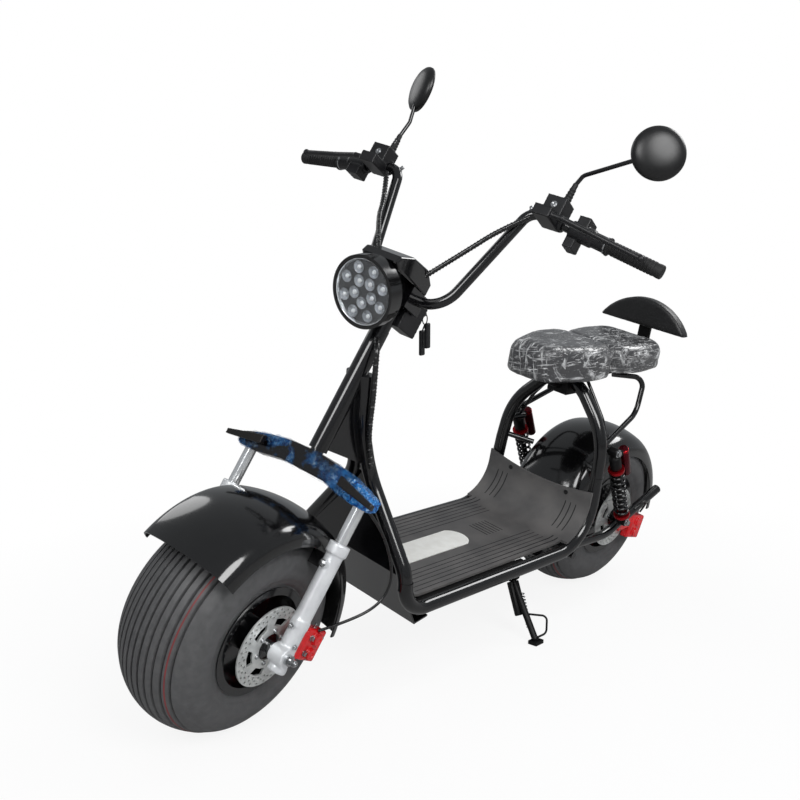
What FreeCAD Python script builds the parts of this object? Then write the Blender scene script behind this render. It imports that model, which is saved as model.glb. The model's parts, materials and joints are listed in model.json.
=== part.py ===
import FreeCAD, Part
import math
import os
import Sketcher
from FreeCAD import Placement, Rotation, Vector

os.makedirs("parts", exist_ok=True)
doc = FreeCAD.newDocument("chopper_scooter")

# Driving sizes in millimetres and degrees. The scooter is drawn upright with straight steering:
# X forward from the rear axle, Y to the rider's left, Z up from the floor.
driving = {
    "wheel_base": 1235,
    "tyre_radius": 228,
    "tyre_half": 106,
    "tread_half": 78,
    "crown_drop": 25,
    "bead_half": 94,
    "bead_radius": 118,
    "seat_radius": 104,
    "rim_half": 97,
    "lip_radius": 115.5,
    "rim_wall": 5,
    "hub_radius": 36,
    "web_place": 52,
    "motor_half": 74,
    "disc_place": 116,
    "disc_radius": 85,
    "disc_thick": 4,
    "disc_inner": 40,
    "axle_radius": 7,
    "rake": 28.2,
    "rest_steer": 8.6,
    "lean": 11.8,
    "axle_lead": 10,
    "leg_half": 149,
    "slider_radius": 18,
    "slider_low": -34,
    "slider_top": 215,
    "collar_radius": 22,
    "collar_height": 22,
    "stanchion_radius": 12.5,
    "crown_under": 316,
    "crown_depth": 42,
    "crown_reach": 176,
    "stem_radius": 14,
    "bearing_gap": 0.1,
    "head_radius": 20,
    "head_low": 378,
    "head_top": 655,
    "sleeve_radius": 19,
    "bar_radius": 11,
    "bar_rise": 84,
    "bar_forward": -13,
    "bend_half": 99,
    "riser_half": 170,
    "riser_height": 1002,
    "riser_forward": -34,
    "grip_end": 458,
    "grip_height": 974,
    "grip_forward": -71,
    "grip_radius": 14.5,
    "mirror_radius": 52,
    "lamp_radius": 74,
    "lamp_height": 689,
    "lamp_forward": 118,
    "lamp_depth": 62,
    "lamp_tilt": 5,
    "tube_radius": 16.5,
    "tube_half": 165,
    "deck_axis": 216,
    "rear_turn": 120,
    "hoop_place": 205,
    "mat_thick": 6,
    "mat_half": 150,
    "mat_top": 240,
    "flap_top": 365,
    "flap_dip": 20,
    "pad_half": 39,
    "pad_rear": 500,
    "pad_front": 800,
    "pad_thick": 2,
    "box_half": 104,
    "box_low": 160,
    "box_rear": 420,
    "box_front": 800,
    "panel_thick": 4,
    "swing_half": 137,
    "swing_radius": 12.5,
    "pivot_place": 285,
    "pivot_height": 206,
    "shock_half": 160,
    "shock_radius": 21,
    "fender_skin": 3,
    "front_guard_half": 118,
    "front_guard_side": 210,
    "front_guard_corner": 40,
    "rear_guard_half": 110,
    "rear_guard_side": 188,
    "rear_guard_corner": 56,
    "rear_guard_place": -12,
    "rear_guard_height": 212,
    "seat_front_nose": 396,
    "seat_front_rear": 127,
    "seat_front_half": 105,
    "seat_low": 642,
    "seat_high": 730,
    "seat_rear_front": 121,
    "seat_rear_back": -113,
    "seat_rear_half": 112,
    "pillion_low": 646,
    "pillion_high": 720,
    "back_half": 136,
    "back_low": 738,
    "back_high": 816,
    "back_thick": 36,
    "back_place": -142,
    "stand_pivot_forward": 450,
    "stand_pivot_half": 122,
    "stand_pivot_height": 168,
    "stand_foot_forward": 474,
    "stand_foot_half": 246,
    "stand_radius": 8,
}
sheet = doc.addObject("Spreadsheet::Sheet", "Sizes")
for row, (name, number) in enumerate(driving.items(), start=1):
    sheet.set("A%d" % row, name)
    sheet.set("B%d" % row, str(number))
    sheet.setAlias("B%d" % row, name)
doc.recompute()


class Sizes:
    """Every driving size, read back from the sheet under its own name."""


size = Sizes()
for name in driving:
    setattr(size, name, float(sheet.get(name)))

AXIS_X = Vector(1, 0, 0)
AXIS_Y = Vector(0, 1, 0)
AXIS_Z = Vector(0, 0, 1)
LEFT_RIGHT = (("left", 1), ("right", -1))


def derived(name, formula):
    """A size worked out in the sheet from the driving ones."""
    derived.row += 1
    sheet.set("A%d" % derived.row, name)
    sheet.set("B%d" % derived.row, "=" + formula)
    sheet.setAlias("B%d" % derived.row, name)
    sheet.recompute()
    setattr(size, name, float(sheet.get(name)))


derived.row = len(driving)

derived("shoulder_radius", "tyre_radius - crown_drop")
derived("crown_arc", "(tread_half * tread_half + crown_drop * crown_drop) / (2 * crown_drop)")
derived("rim_seat", "seat_radius - 0.1")
derived("rim_inner", "seat_radius - 0.1 - rim_wall")
derived("web_outer", "web_place + rim_wall")
derived("disc_outer", "disc_place + disc_thick / 2")
derived("disc_face", "disc_place - disc_thick / 2")


# Frames of the two tilted groups

rake = math.radians(size.rake)
up_fork = Vector(-math.sin(rake), 0, math.cos(rake))
front_fork = Vector(math.cos(rake), 0, math.sin(rake))
front_axle = Vector(size.wheel_base, 0, size.tyre_radius)
rear_axle = Vector(0, 0, size.tyre_radius)
fork_origin = front_axle - front_fork * size.axle_lead
# In the fork frame X points forward from the steering axis, Z up along it.
fork_frame = Placement(fork_origin, Rotation(AXIS_Y, -size.rake))
turned = Placement(Vector(), Rotation(up_fork, size.rest_steer), fork_origin)
leaned = Placement(Vector(), Rotation(AXIS_X, -size.lean))


def in_frame(point):
    return fork_frame.multVec(point)


# Shape helpers

def plane_of(body, role):
    for feature in body.Origin.OriginFeatures:
        if feature.Role == role:
            return feature
    raise ValueError(role)


def number_of(name):
    if isinstance(name, (int, float)):
        return float(name)
    if name.startswith("-"):
        return -getattr(size, name[1:])
    return getattr(size, name)


def bind(sketch, kind, geometry, end, name):
    """Hold one coordinate of a sketch point at a named size, or on an axis."""
    if name == 0:
        line = -2 if kind == "DistanceX" else -1
        sketch.addConstraint(Sketcher.Constraint("PointOnObject", geometry, end, line))
        return
    if isinstance(name, str) and name.startswith("-"):
        index = sketch.addConstraint(
            Sketcher.Constraint(kind, geometry, end, -1, 1, abs(number_of(name))))
        sketch.setExpression("Constraints[%d]" % index, "Sizes." + name[1:])
        return
    index = sketch.addConstraint(Sketcher.Constraint(kind, -1, 1, geometry, end, number_of(name)))
    sketch.setExpression("Constraints[%d]" % index, "Sizes." + name)


def profile(body, role, start, steps):
    """A closed sketch. Each step goes on to (x, y), or round (x, y, radius name, turn) to it,
    where turn is 1 for an arc that bends to the left and -1 to the right."""
    sketch = body.newObject("Sketcher::SketchObject", body.Name + "_sketch")
    sketch.AttachmentSupport = (plane_of(body, role), [""])
    sketch.MapMode = "FlatFace"
    here = Vector(number_of(start[0]), number_of(start[1]), 0)
    ends = []
    for step in steps:
        there = Vector(number_of(step[0]), number_of(step[1]), 0)
        if len(step) == 2:
            geometry = sketch.addGeometry(Part.LineSegment(here, there))
            ends.append((geometry, 1, 2))
        else:
            radius = number_of(step[2])
            turn = step[3]
            chord = there - here
            side = Vector(-chord.y, chord.x, 0).normalize()
            rise = math.sqrt(radius * radius - chord.Length ** 2 / 4)
            centre = (here + there) * 0.5 + side * (turn * rise)
            first, last = (here, there) if turn > 0 else (there, here)
            begin = math.atan2(first.y - centre.y, first.x - centre.x)
            finish = math.atan2(last.y - centre.y, last.x - centre.x)
            circle = Part.Circle(centre, AXIS_Z, radius)
            geometry = sketch.addGeometry(Part.ArcOfCircle(circle, begin, finish))
            ends.append((geometry, 1, 2) if turn > 0 else (geometry, 2, 1))
            index = sketch.addConstraint(Sketcher.Constraint("Radius", geometry, radius))
            sketch.setExpression("Constraints[%d]" % index, "Sizes." + step[2])
        here = there
    for count, (geometry, begin, finish) in enumerate(ends):
        following = ends[(count + 1) % len(ends)]
        sketch.addConstraint(
            Sketcher.Constraint("Coincident", geometry, finish, following[0], following[1]))
        bind(sketch, "DistanceX", geometry, finish, steps[count][0])
        bind(sketch, "DistanceY", geometry, finish, steps[count][1])
    return sketch


def new_body(label):
    body = doc.addObject("PartDesign::Body", label)
    body.Label = label
    return body


def revolved(label, start, steps, role="YZ_Plane", axis="H_Axis"):
    body = new_body(label)
    sketch = profile(body, role, start, steps)
    turn = body.newObject("PartDesign::Revolution", label + "_turn")
    turn.Profile = sketch
    turn.ReferenceAxis = (sketch, [axis])
    turn.Angle = 360
    sketch.Visibility = False
    return body


def padded(label, role, start, steps, length, symmetric=True):
    body = new_body(label)
    sketch = profile(body, role, start, steps)
    pad = body.newObject("PartDesign::Pad", label + "_pad")
    pad.Profile = sketch
    pad.setExpression("Length", "Sizes." + length)
    if symmetric:
        pad.SideType = "Symmetric"
    return body


def route(corners, bends):
    """Straight runs joined by tangent arcs; bends holds one radius for each inner corner."""
    edges = []
    here = corners[0]
    for corner, following, bend in zip(corners[1:-1], corners[2:], bends):
        back = (here - corner).normalize()
        ahead = (following - corner).normalize()
        half_turn = back.getAngle(ahead) / 2
        reach = bend / math.tan(half_turn)
        first = corner + back * reach
        last = corner + ahead * reach
        bisector = (back + ahead).normalize()
        middle = corner + bisector * (bend / math.sin(half_turn) - bend)
        if (first - here).Length > 0.01:
            edges.append(Part.LineSegment(here, first).toShape())
        edges.append(Part.Arc(first, middle, last).toShape())
        here = last
    edges.append(Part.LineSegment(here, corners[-1]).toShape())
    return Part.Wire(edges)


def tube(corners, bends, radius):
    path = route(corners, bends)
    tangent = path.Edges[0].tangentAt(path.Edges[0].FirstParameter)
    ring = Part.Wire([Part.makeCircle(radius, corners[0], tangent)])
    return path.makePipeShell([ring], True, False)


def rod(start, finish, radius):
    run = finish - start
    return Part.makeCylinder(radius, run.Length, start, run)


def block(low, high):
    return Part.makeBox(high[0] - low[0], high[1] - low[1], high[2] - low[2], Vector(*low))


def mirrored(shape):
    return shape.mirror(Vector(), AXIS_Y)


def slab(points, direction):
    """A flat plate: the closed outline through the points, pushed along a direction."""
    return Part.Face(Part.makePolygon(points + [points[0]])).extrude(direction)


def together(shapes):
    return shapes[0].fuse(shapes[1:]).removeSplitter()


def largest(shape):
    return max(shape.Solids, key=lambda item: item.Volume)


def pair(shape):
    """The piece and its mirror image, as two solids that don't touch."""
    return Part.makeCompound([shape, mirrored(shape)])


nodes = []


def keep(label, thing, group):
    """Store a sub-part with the group that carries it: frame, fork, steered, front_wheel or stand."""
    if isinstance(thing, Part.Shape):
        item = doc.addObject("Part::Feature", label)
        item.Label = label
        item.Shape = thing
    else:
        item = thing
    nodes.append((label, item, group))
    return item


# Wheels, drawn about their own axle line along Y

derived("side_bulge", "tyre_half - (bead_half + tread_half) / 2")
derived("side_rise", "shoulder_radius - bead_radius")
derived("side_chord", "(bead_half - tread_half) * (bead_half - tread_half) + side_rise * side_rise")
derived("side_arc", "(side_chord / 4 + side_bulge * side_bulge) / (2 * side_bulge)")
derived("axle_bore", "axle_radius + bearing_gap")
derived("motor_step", "rim_inner - 12")
derived("motor_face", "motor_half + 8")

for wheel in ("front", "rear"):
    tyre = revolved(wheel + "_tyre", ("-bead_half", "seat_radius"), [
        ("bead_half", "seat_radius"),
        ("bead_half", "bead_radius"),
        ("tread_half", "shoulder_radius", "side_arc", 1),
        (0, "tyre_radius", "crown_arc", 1),
        ("-tread_half", "shoulder_radius", "crown_arc", 1),
        ("-bead_half", "bead_radius", "side_arc", 1),
        ("-bead_half", "seat_radius"),
    ])
    keep(wheel + "_tyre", tyre, wheel + "_wheel")

front_rim = revolved("front_rim", ("-disc_face", "axle_bore"), [
    ("disc_face", "axle_bore"),
    ("disc_face", "hub_radius"),
    ("web_outer", "hub_radius"),
    ("web_outer", "rim_inner"),
    ("rim_half", "rim_inner"),
    ("rim_half", "lip_radius"),
    ("bead_half", "lip_radius"),
    ("bead_half", "rim_seat"),
    ("-bead_half", "rim_seat"),
    ("-bead_half", "lip_radius"),
    ("-rim_half", "lip_radius"),
    ("-rim_half", "rim_inner"),
    ("web_place", "rim_inner"),
    ("web_place", "hub_radius"),
    ("-disc_face", "hub_radius"),
    ("-disc_face", "axle_bore"),
])
keep("front_rim", front_rim, "front_wheel")

hub_motor = revolved("hub_motor", ("-disc_face", "axle_bore"), [
    ("disc_face", "axle_bore"),
    ("disc_face", "hub_radius"),
    ("motor_face", "hub_radius"),
    ("motor_half", "motor_step"),
    ("motor_half", "rim_inner"),
    ("rim_half", "rim_inner"),
    ("rim_half", "lip_radius"),
    ("bead_half", "lip_radius"),
    ("bead_half", "rim_seat"),
    ("-bead_half", "rim_seat"),
    ("-bead_half", "lip_radius"),
    ("-rim_half", "lip_radius"),
    ("-rim_half", "rim_inner"),
    ("-motor_half", "rim_inner"),
    ("-motor_half", "motor_step"),
    ("-motor_face", "hub_radius"),
    ("-disc_face", "hub_radius"),
    ("-disc_face", "axle_bore"),
])
keep("hub_motor", hub_motor, "rear_wheel")


def brake_disc():
    """A flat ring seated on the hub's end, with six windows between its spokes."""
    window_low = 46
    window_high = 62
    window_turn = 34
    windows = 6
    across = 2 * size.disc_thick
    ring = Part.makeCylinder(size.disc_radius, size.disc_thick, Vector(0, size.disc_face, 0), AXIS_Y)
    ring = ring.cut(Part.makeCylinder(size.disc_inner - 12, across, Vector(0, size.disc_face, 0), AXIS_Y))
    sector = Part.makeCylinder(window_high, across, Vector(), AXIS_Z, window_turn)
    sector = sector.cut(Part.makeCylinder(window_low, across, Vector(), AXIS_Z, 360))
    sector.Placement = Placement(Vector(0, size.disc_outer + 1, 0), Rotation(AXIS_X, 90))
    for turn in range(windows):
        window = sector.copy()
        window.rotate(Vector(), AXIS_Y, turn * 360 / windows)
        ring = ring.cut(window)
    return ring


keep("front_disc", brake_disc(), "front_wheel")
keep("rear_disc", brake_disc(), "rear_wheel")


# Mudguards, turned about the axle line

def mudguard(half, side, corner, begin, finish):
    """A thin arched section swept about the axle from one angle to another, counted from forward."""
    blend = math.radians(72)

    def outline(shrink):
        low = Vector(0, half - shrink, side)
        hub = Vector(0, half - corner, side)
        reach = corner - shrink
        middle = hub + Vector(0, reach * math.cos(blend / 2), reach * math.sin(blend / 2))
        top = hub + Vector(0, reach * math.cos(blend), reach * math.sin(blend))
        rise = top.y * math.tan((math.pi / 2 - blend) / 2)
        return low, middle, top, Vector(0, 0, top.z + rise)

    def flipped(point):
        return Vector(point.x, -point.y, point.z)

    outer = outline(0)
    inner = outline(size.fender_skin)
    edges = []
    for low, middle, top, crown in (outer, inner):
        edges.append([
            Part.Arc(low, middle, top).toShape(),
            Part.Arc(top, crown, flipped(top)).toShape(),
            Part.Arc(flipped(top), flipped(middle), flipped(low)).toShape(),
        ])
    low_left = Part.makeLine(outer[0], inner[0])
    low_right = Part.makeLine(flipped(inner[0]), flipped(outer[0]))
    wire = Part.Wire([low_left] + edges[1] + [low_right] + list(reversed(edges[0])))
    section = Part.Face(wire)
    section.rotate(Vector(), AXIS_Y, 90 - begin)
    return section.revolve(Vector(), AXIS_Y, -(finish - begin))


front_guard = mudguard(size.front_guard_half, size.front_guard_side, size.front_guard_corner, 52, 197)
rear_guard = mudguard(size.rear_guard_half, size.rear_guard_side, size.rear_guard_corner, 18, 182)
rear_guard.translate(Vector(size.rear_guard_place, 0, size.rear_guard_height))


# Fork legs and crown, drawn in the fork frame

leg_line = Vector(0, size.leg_half, 0)
boss_reach = 10
boss_height = 192
slider_foot = leg_line + AXIS_Z * size.slider_low
slider = together([
    Part.makeCylinder(size.slider_radius, size.slider_top - size.slider_low, slider_foot),
    Part.makeCylinder(size.collar_radius, size.collar_height, leg_line + AXIS_Z * size.slider_top),
    Part.makeCylinder(size.slider_radius + 1.5, 16, leg_line + AXIS_Z * 60),
    Part.makeCylinder(size.slider_radius + 1.5, 9, slider_foot + AXIS_Z * 3),
    Part.makeCylinder(20, 2 * size.slider_radius,
                      Vector(size.axle_lead, size.leg_half - size.slider_radius, 0), AXIS_Y),
    Part.makeCylinder(8, size.slider_radius + boss_reach, leg_line + AXIS_Z * boss_height, AXIS_X),
])
axle_hole = Part.makeCylinder(size.axle_radius, 400, Vector(size.axle_lead, -200, 0), AXIS_Y)
leg_left = slider.cut(axle_hole)
leg_right = mirrored(leg_left)
keep("fork_sliders", Part.makeCompound([leg_left, leg_right]), "fork")

stanchion_low = size.slider_top + size.collar_height
stanchion = Part.makeCylinder(size.stanchion_radius, size.crown_under - stanchion_low,
                              leg_line + AXIS_Z * stanchion_low)
keep("fork_stanchions", pair(stanchion), "fork")

derived("crown_tip", "crown_under + 26")
derived("crown_top", "head_low - 4")
derived("crown_flat", "leg_half + stanchion_radius + 6")
derived("crown_inside", "leg_half - stanchion_radius - 8")
derived("crown_rise", "crown_under + 6")
derived("crown_bulge", "crown_under + 12")
derived("crown_middle", "crown_reach - 118")
derived("crown_drop_tip", "crown_top - crown_tip")
derived("crown_bow", "(crown_reach * crown_reach + crown_drop_tip * crown_drop_tip) / (2 * crown_drop_tip)")
fork_crown = padded("fork_crown", "YZ_Plane", ("-crown_reach", "crown_rise"), [
    ("-crown_flat", "crown_under"),
    ("-crown_inside", "crown_under"),
    ("-crown_middle", "crown_bulge"),
    ("crown_middle", "crown_bulge"),
    ("crown_inside", "crown_under"),
    ("crown_flat", "crown_under"),
    ("crown_reach", "crown_rise"),
    ("crown_reach", "crown_tip"),
    (0, "crown_top", "crown_bow", 1),
    ("-crown_reach", "crown_tip", "crown_bow", 1),
    ("-crown_reach", "crown_rise"),
], "crown_depth")
keep("fork_crown", fork_crown, "fork")


# Headlight, drawn along its own beam

lamp_place = fork_frame.inverse() * Placement(
    in_frame(Vector(size.lamp_forward, 0, size.lamp_height)), Rotation(AXIS_Y, size.lamp_tilt))
derived("lamp_bucket", "lamp_radius - 3")
derived("lamp_lens", "lamp_radius - 7")
derived("lamp_back", "lamp_depth - 24")
derived("lamp_tail", "lamp_radius - 36")
derived("lamp_ring", "lamp_depth - 40")
derived("lamp_recess", "lamp_depth - 53")
headlight = revolved("headlight", ("-lamp_depth", 0), [
    ("-lamp_recess", 0),
    ("-lamp_recess", "lamp_lens"),
    (0, "lamp_lens"),
    (0, "lamp_radius"),
    ("-lamp_ring", "lamp_radius"),
    ("-lamp_ring", "lamp_bucket"),
    ("-lamp_back", "lamp_bucket"),
    ("-lamp_depth", "lamp_tail"),
    ("-lamp_depth", 0),
], "XZ_Plane", "H_Axis")
doc.recompute()
bucket = headlight.Shape.copy()
bucket.Placement = lamp_place
keep("headlight", headlight, "lamp")
lens_play = 0.2
lens_setback = 2
lens = Part.makeCylinder(size.lamp_lens - lens_play, size.lamp_recess - lens_setback,
                         Vector(-size.lamp_recess, 0, 0), AXIS_X)
keep("headlight_lens", lens, "lamp")


# Steering stem with the bar clamp on top and the lamp's bracket in front

sleeve_low = size.head_top + 0.3
bar_height = size.head_top + size.bar_rise
clamp_half = 42
clamp_over = 18
clamp_under = 27
clamp_high = bar_height + clamp_over
sleeve_top = bar_height - clamp_under
clamp_rear = size.bar_forward - 26
clamp_front = 24
column = together([
    Part.makeCylinder(size.stem_radius, sleeve_top - size.crown_top, Vector(0, 0, size.crown_top)),
    Part.makeCylinder(size.sleeve_radius, sleeve_top - sleeve_low, Vector(0, 0, sleeve_low)),
    block((clamp_rear, -clamp_half, sleeve_top), (clamp_front, clamp_half, clamp_high)),
    block((10, -20, sleeve_top - 26), (90, 20, sleeve_top)),
])
bar_bore = Part.makeCylinder(size.bar_radius, 4 * clamp_half,
                             Vector(size.bar_forward, -2 * clamp_half, bar_height), AXIS_Y)
steering_stem = largest(column.cut(bar_bore).cut(bucket))
keep("steering_stem", steering_stem, "fork")

dash_half = 46
dash = slab([
    Vector(-26, -dash_half, clamp_high),
    Vector(106, -dash_half, clamp_high),
    Vector(124, -dash_half, clamp_high + 11),
    Vector(116, -dash_half, clamp_high + 26),
    Vector(72, -dash_half, clamp_high + 44),
    Vector(8, -dash_half, clamp_high + 46),
    Vector(-26, -dash_half, clamp_high + 26),
], Vector(0, 2 * dash_half, 0))
dash = dash.makeFillet(6, [edge for edge in dash.Edges if abs(edge.Length - 2 * dash_half) > 0.5])
dash = largest(dash.cut(bucket))
keep("dash_cover", dash, "fork")

ignition_rear = -86
ignition = together([
    block((ignition_rear, -8, sleeve_top - 38), (-12, 28, sleeve_top)),
    block((ignition_rear, -8, sleeve_top), (clamp_rear, 28, bar_height + 6)),
]).cut(steering_stem)
keep("ignition_box", largest(ignition), "fork")


# Handlebar and what is clamped to it

bar_corners = [
    Vector(size.bar_forward, 0, bar_height),
    Vector(size.bar_forward, size.bend_half, bar_height),
    Vector(size.riser_forward, size.riser_half, size.riser_height),
    Vector(size.grip_forward, size.grip_end, size.grip_height),
]
half_bar = tube(bar_corners, [66, 34], size.bar_radius)
keep("handlebar", together([half_bar, mirrored(half_bar)]), "fork")

grip_run = bar_corners[3] - bar_corners[2]
along_grip = Vector(grip_run).normalize()


def on_bar(half):
    """The point of the upper bar at this distance from the middle plane."""
    return bar_corners[2] + grip_run * ((half - size.riser_half) / (size.grip_end - size.riser_half))


def sleeve_on_bar(begin, finish, radius):
    start = on_bar(begin)
    run = on_bar(finish) - start
    outer = Part.makeCylinder(radius, run.Length, start, run)
    return outer.cut(Part.makeCylinder(size.bar_radius, run.Length, start, run))


def beside_bar(half, low, high):
    """A block placed from the bar's axis at this distance from the middle plane."""
    base = on_bar(half)
    return block((base.x + low[0], base.y + low[1], base.z + low[2]),
                 (base.x + high[0], base.y + high[1], base.z + high[2]))


grip_start = 344
switch_start = 262
switch_end = 312
grip = together([
    sleeve_on_bar(grip_start, size.grip_end, size.grip_radius),
    sleeve_on_bar(grip_start, grip_start + 5, size.grip_radius + 4),
    Part.makeCylinder(size.grip_radius, 5, on_bar(size.grip_end), along_grip),
])
keep("grips", pair(grip), "fork")

cluster = sleeve_on_bar(switch_start, switch_end, 18.5)
thumb_drum = sleeve_on_bar(switch_end, grip_start, 16)
left_switch = together([
    cluster,
    thumb_drum,
    beside_bar(285, (-24, -13, 8), (16, 13, 31)),
    beside_bar(271, (-30, -11, -38), (6, 11, -8)),
]).cut(half_bar)
right_switch = mirrored(together([
    cluster,
    thumb_drum,
    beside_bar(285, (-20, -16, -30), (20, 16, -8)),
]).cut(half_bar))
keep("bar_switches", Part.makeCompound([left_switch, right_switch]), "fork")

perch_half = 222
perch = together([
    rod(on_bar(perch_half - 23), on_bar(perch_half + 23), 16.5),
    beside_bar(perch_half, (-9, -20, -2), (36, 24, 39)),
    beside_bar(perch_half, (-6, -21, -19), (66, 18, 3)),
]).cut(rod(on_bar(perch_half - 60), on_bar(perch_half + 60), size.bar_radius))
lever_root = on_bar(perch_half) + Vector(56, 6, -9)
lever_tip = on_bar(428) + Vector(38, 0, -4)
lever_elbow = Vector(lever_root.x - 4, 262, lever_root.z)
lever_middle = on_bar(330) + Vector(46, 0, -4)
lever = [
    rod(lever_root, lever_elbow, 5.5),
    Part.makeSphere(6.2, lever_elbow),
    rod(lever_elbow, lever_middle, 5.5),
    Part.makeSphere(6, lever_middle),
    rod(lever_middle, lever_tip, 5.5),
    Part.makeSphere(7.5, lever_tip),
]
brake_lever = together([perch] + lever).cut(cluster)
keep("brake_levers", pair(largest(brake_lever)), "fork")


# Mirrors: each head is aimed by itself, so the two differ

def mirror(root, boot_top, bend, head, back):
    """Boot, bent stalk and a round domed head whose back faces the given way."""
    back = back.normalize()
    boot = Part.makeCone(9, 6, (boot_top - root).Length, root, boot_top - root)
    towards = (head - bend).normalize()
    arrival = head - towards * (0.72 * size.mirror_radius) + back * 2
    stalk = tube([boot_top - (bend - boot_top) * 0.1, bend, arrival], [14], 4.5)
    dish = Part.makeCylinder(size.mirror_radius, 9, head - back * 5, back)
    dome = Part.makeCone(size.mirror_radius, size.mirror_radius / 2, 13, head + back * 4, back)
    return together([boot, stalk, dish, dome])


mirror_left = mirror(Vector(-46, 224, 1034), Vector(-40, 229, 1081), Vector(-34, 238, 1101),
                     Vector(18, 385, 1162), Vector(0.853, 0.516, -0.08)).cut(perch)
mirror_right = mirror(Vector(-46, -224, 1034), Vector(-46, -223, 1080), Vector(-53, -222, 1119),
                      Vector(-54, -236, 1202), Vector(0.801, -0.56, -0.186)).cut(mirrored(perch))
keep("mirrors", Part.makeCompound([largest(mirror_left), largest(mirror_right)]), "fork")


# Front axle, mudguard with its stays, caliper and turn signals

nut_height = 9
nut_radius = 11
thread_reach = 10
spacer_radius = 13
play = 0.5


def axle(leg_inner, leg_outer):
    """A spindle with a nut near each end and a spacer beside each end of the hub."""
    spacer = leg_inner - size.disc_face - play
    tip = leg_outer + nut_height + thread_reach
    pieces = [Part.makeCylinder(size.axle_radius, 2 * tip, Vector(0, -tip, 0), AXIS_Y)]
    for start in (leg_outer, -leg_outer - nut_height):
        pieces.append(Part.makeCylinder(nut_radius, nut_height, Vector(0, start, 0), AXIS_Y))
    for start in (size.disc_face + play, -leg_inner):
        pieces.append(Part.makeCylinder(spacer_radius, spacer, Vector(0, start, 0), AXIS_Y))
    return together(pieces)


front_spindle = axle(size.leg_half - size.slider_radius, size.leg_half + size.slider_radius)
front_spindle.translate(Vector(size.axle_lead, 0, 0))
keep("front_axle", front_spindle, "fork")

front_guard.Placement = fork_frame.inverse() * Placement(front_axle, Rotation())
stay_inner = size.front_guard_half - 14
stay = block((-7, stay_inner, 178), (7, size.leg_half, 206)).cut(leg_left).cut(front_guard)
stay = max(stay.Solids, key=lambda item: item.CenterOfMass.y)
front_fender = front_guard.fuse([stay, mirrored(stay)])
keep("front_fender", front_fender, "fork")


def caliper():
    """Two halves round the disc's rear edge, joined outside it."""
    body_low = 110
    body_high = 143
    gap = 1.5
    shell = block((-66, body_low, -34), (0, body_high, 34))
    shell = shell.makeFillet(7, [edge for edge in shell.Edges if edge.Length > 60])
    slot = block((-30, size.disc_face - gap, -40), (1, size.disc_outer + gap, 40))
    pistons = [Part.makeCylinder(13, 6, Vector(-33, body_high, offset), AXIS_Y) for offset in (-16, 16)]
    return together([shell.cut(slot)] + pistons)


front_caliper = caliper()
front_caliper.Placement = Placement(Vector(-62, 0, 25), Rotation())
front_tab = block((-70, 131, -4), (-4, 139, 50)).cut(leg_left).cut(front_caliper)
front_caliper = front_caliper.fuse(largest(front_tab))
keep("front_caliper", front_caliper, "fork")

crown_face = size.crown_depth / 2
signal_stalk = 9
signal = together([
    slab([
        Vector(crown_face + signal_stalk, 104, 356),
        Vector(crown_face + signal_stalk, 196, 333),
        Vector(crown_face + signal_stalk, 196, 322),
        Vector(crown_face + signal_stalk, 104, 336),
    ], Vector(13, 0, 0)),
    Part.makeCylinder(5, signal_stalk, Vector(crown_face, 118, 342), AXIS_X),
])
keep("turn_signals", pair(signal), "fork")


# Main tubes: down from the neck, along the deck and up behind it; one hoop joins their ends

tube_corners = [
    Vector(957, size.tube_radius + 1, 712),
    Vector(948, size.tube_radius + 1, 600),
    Vector(906, size.tube_radius + 1, 487),
    Vector(896, 160, 300),
    Vector(900, size.tube_half, size.deck_axis),
    Vector(size.hoop_place, size.tube_half, size.deck_axis),
    Vector(size.hoop_place, 157, 400),
]
main_left = tube(tube_corners, [300, 120, 90, 72, size.rear_turn], size.tube_radius)
head_outer = Part.makeCylinder(size.head_radius, size.head_top - size.head_low, Vector(0, 0, size.head_low))
head_bore = Part.makeCylinder(size.stem_radius + size.bearing_gap, size.head_top - size.head_low,
                              Vector(0, 0, size.head_low))
head_solid = head_outer.copy()
head_solid.Placement = fork_frame
main_left = largest(main_left.cut(head_solid))
main_right = mirrored(main_left)
keep("frame_tubes", Part.makeCompound([main_left, main_right]), "frame")

neck_half = 15
neck = slab([
    in_frame(Vector(-10, -neck_half, size.head_low + 8)),
    Vector(912, -neck_half, 502),
    Vector(948, -neck_half, 600),
    Vector(957, -neck_half, 705),
    in_frame(Vector(-10, -neck_half, size.head_low + 200)),
], Vector(0, 2 * neck_half, 0))
neck = largest(neck.cut(head_solid).cut(main_left).cut(main_right))
head_tube = head_outer.cut(head_bore)
head_tube.Placement = fork_frame
keep("head_tube", head_tube.fuse(neck), "frame")

hoop_corners = [
    tube_corners[6],
    Vector(size.hoop_place - 3, 148, 508),
    Vector(size.hoop_place - 9, 0, 666),
    Vector(size.hoop_place - 3, -148, 508),
    Vector(size.hoop_place, -157, 400),
]
hoop = tube(hoop_corners, [180, 100, 180], size.tube_radius).cut(main_left).cut(main_right)
hoop = largest(hoop)
keep("seat_hoop", hoop, "frame")


# Nose panel, battery box and the cross members under the deck

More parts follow.
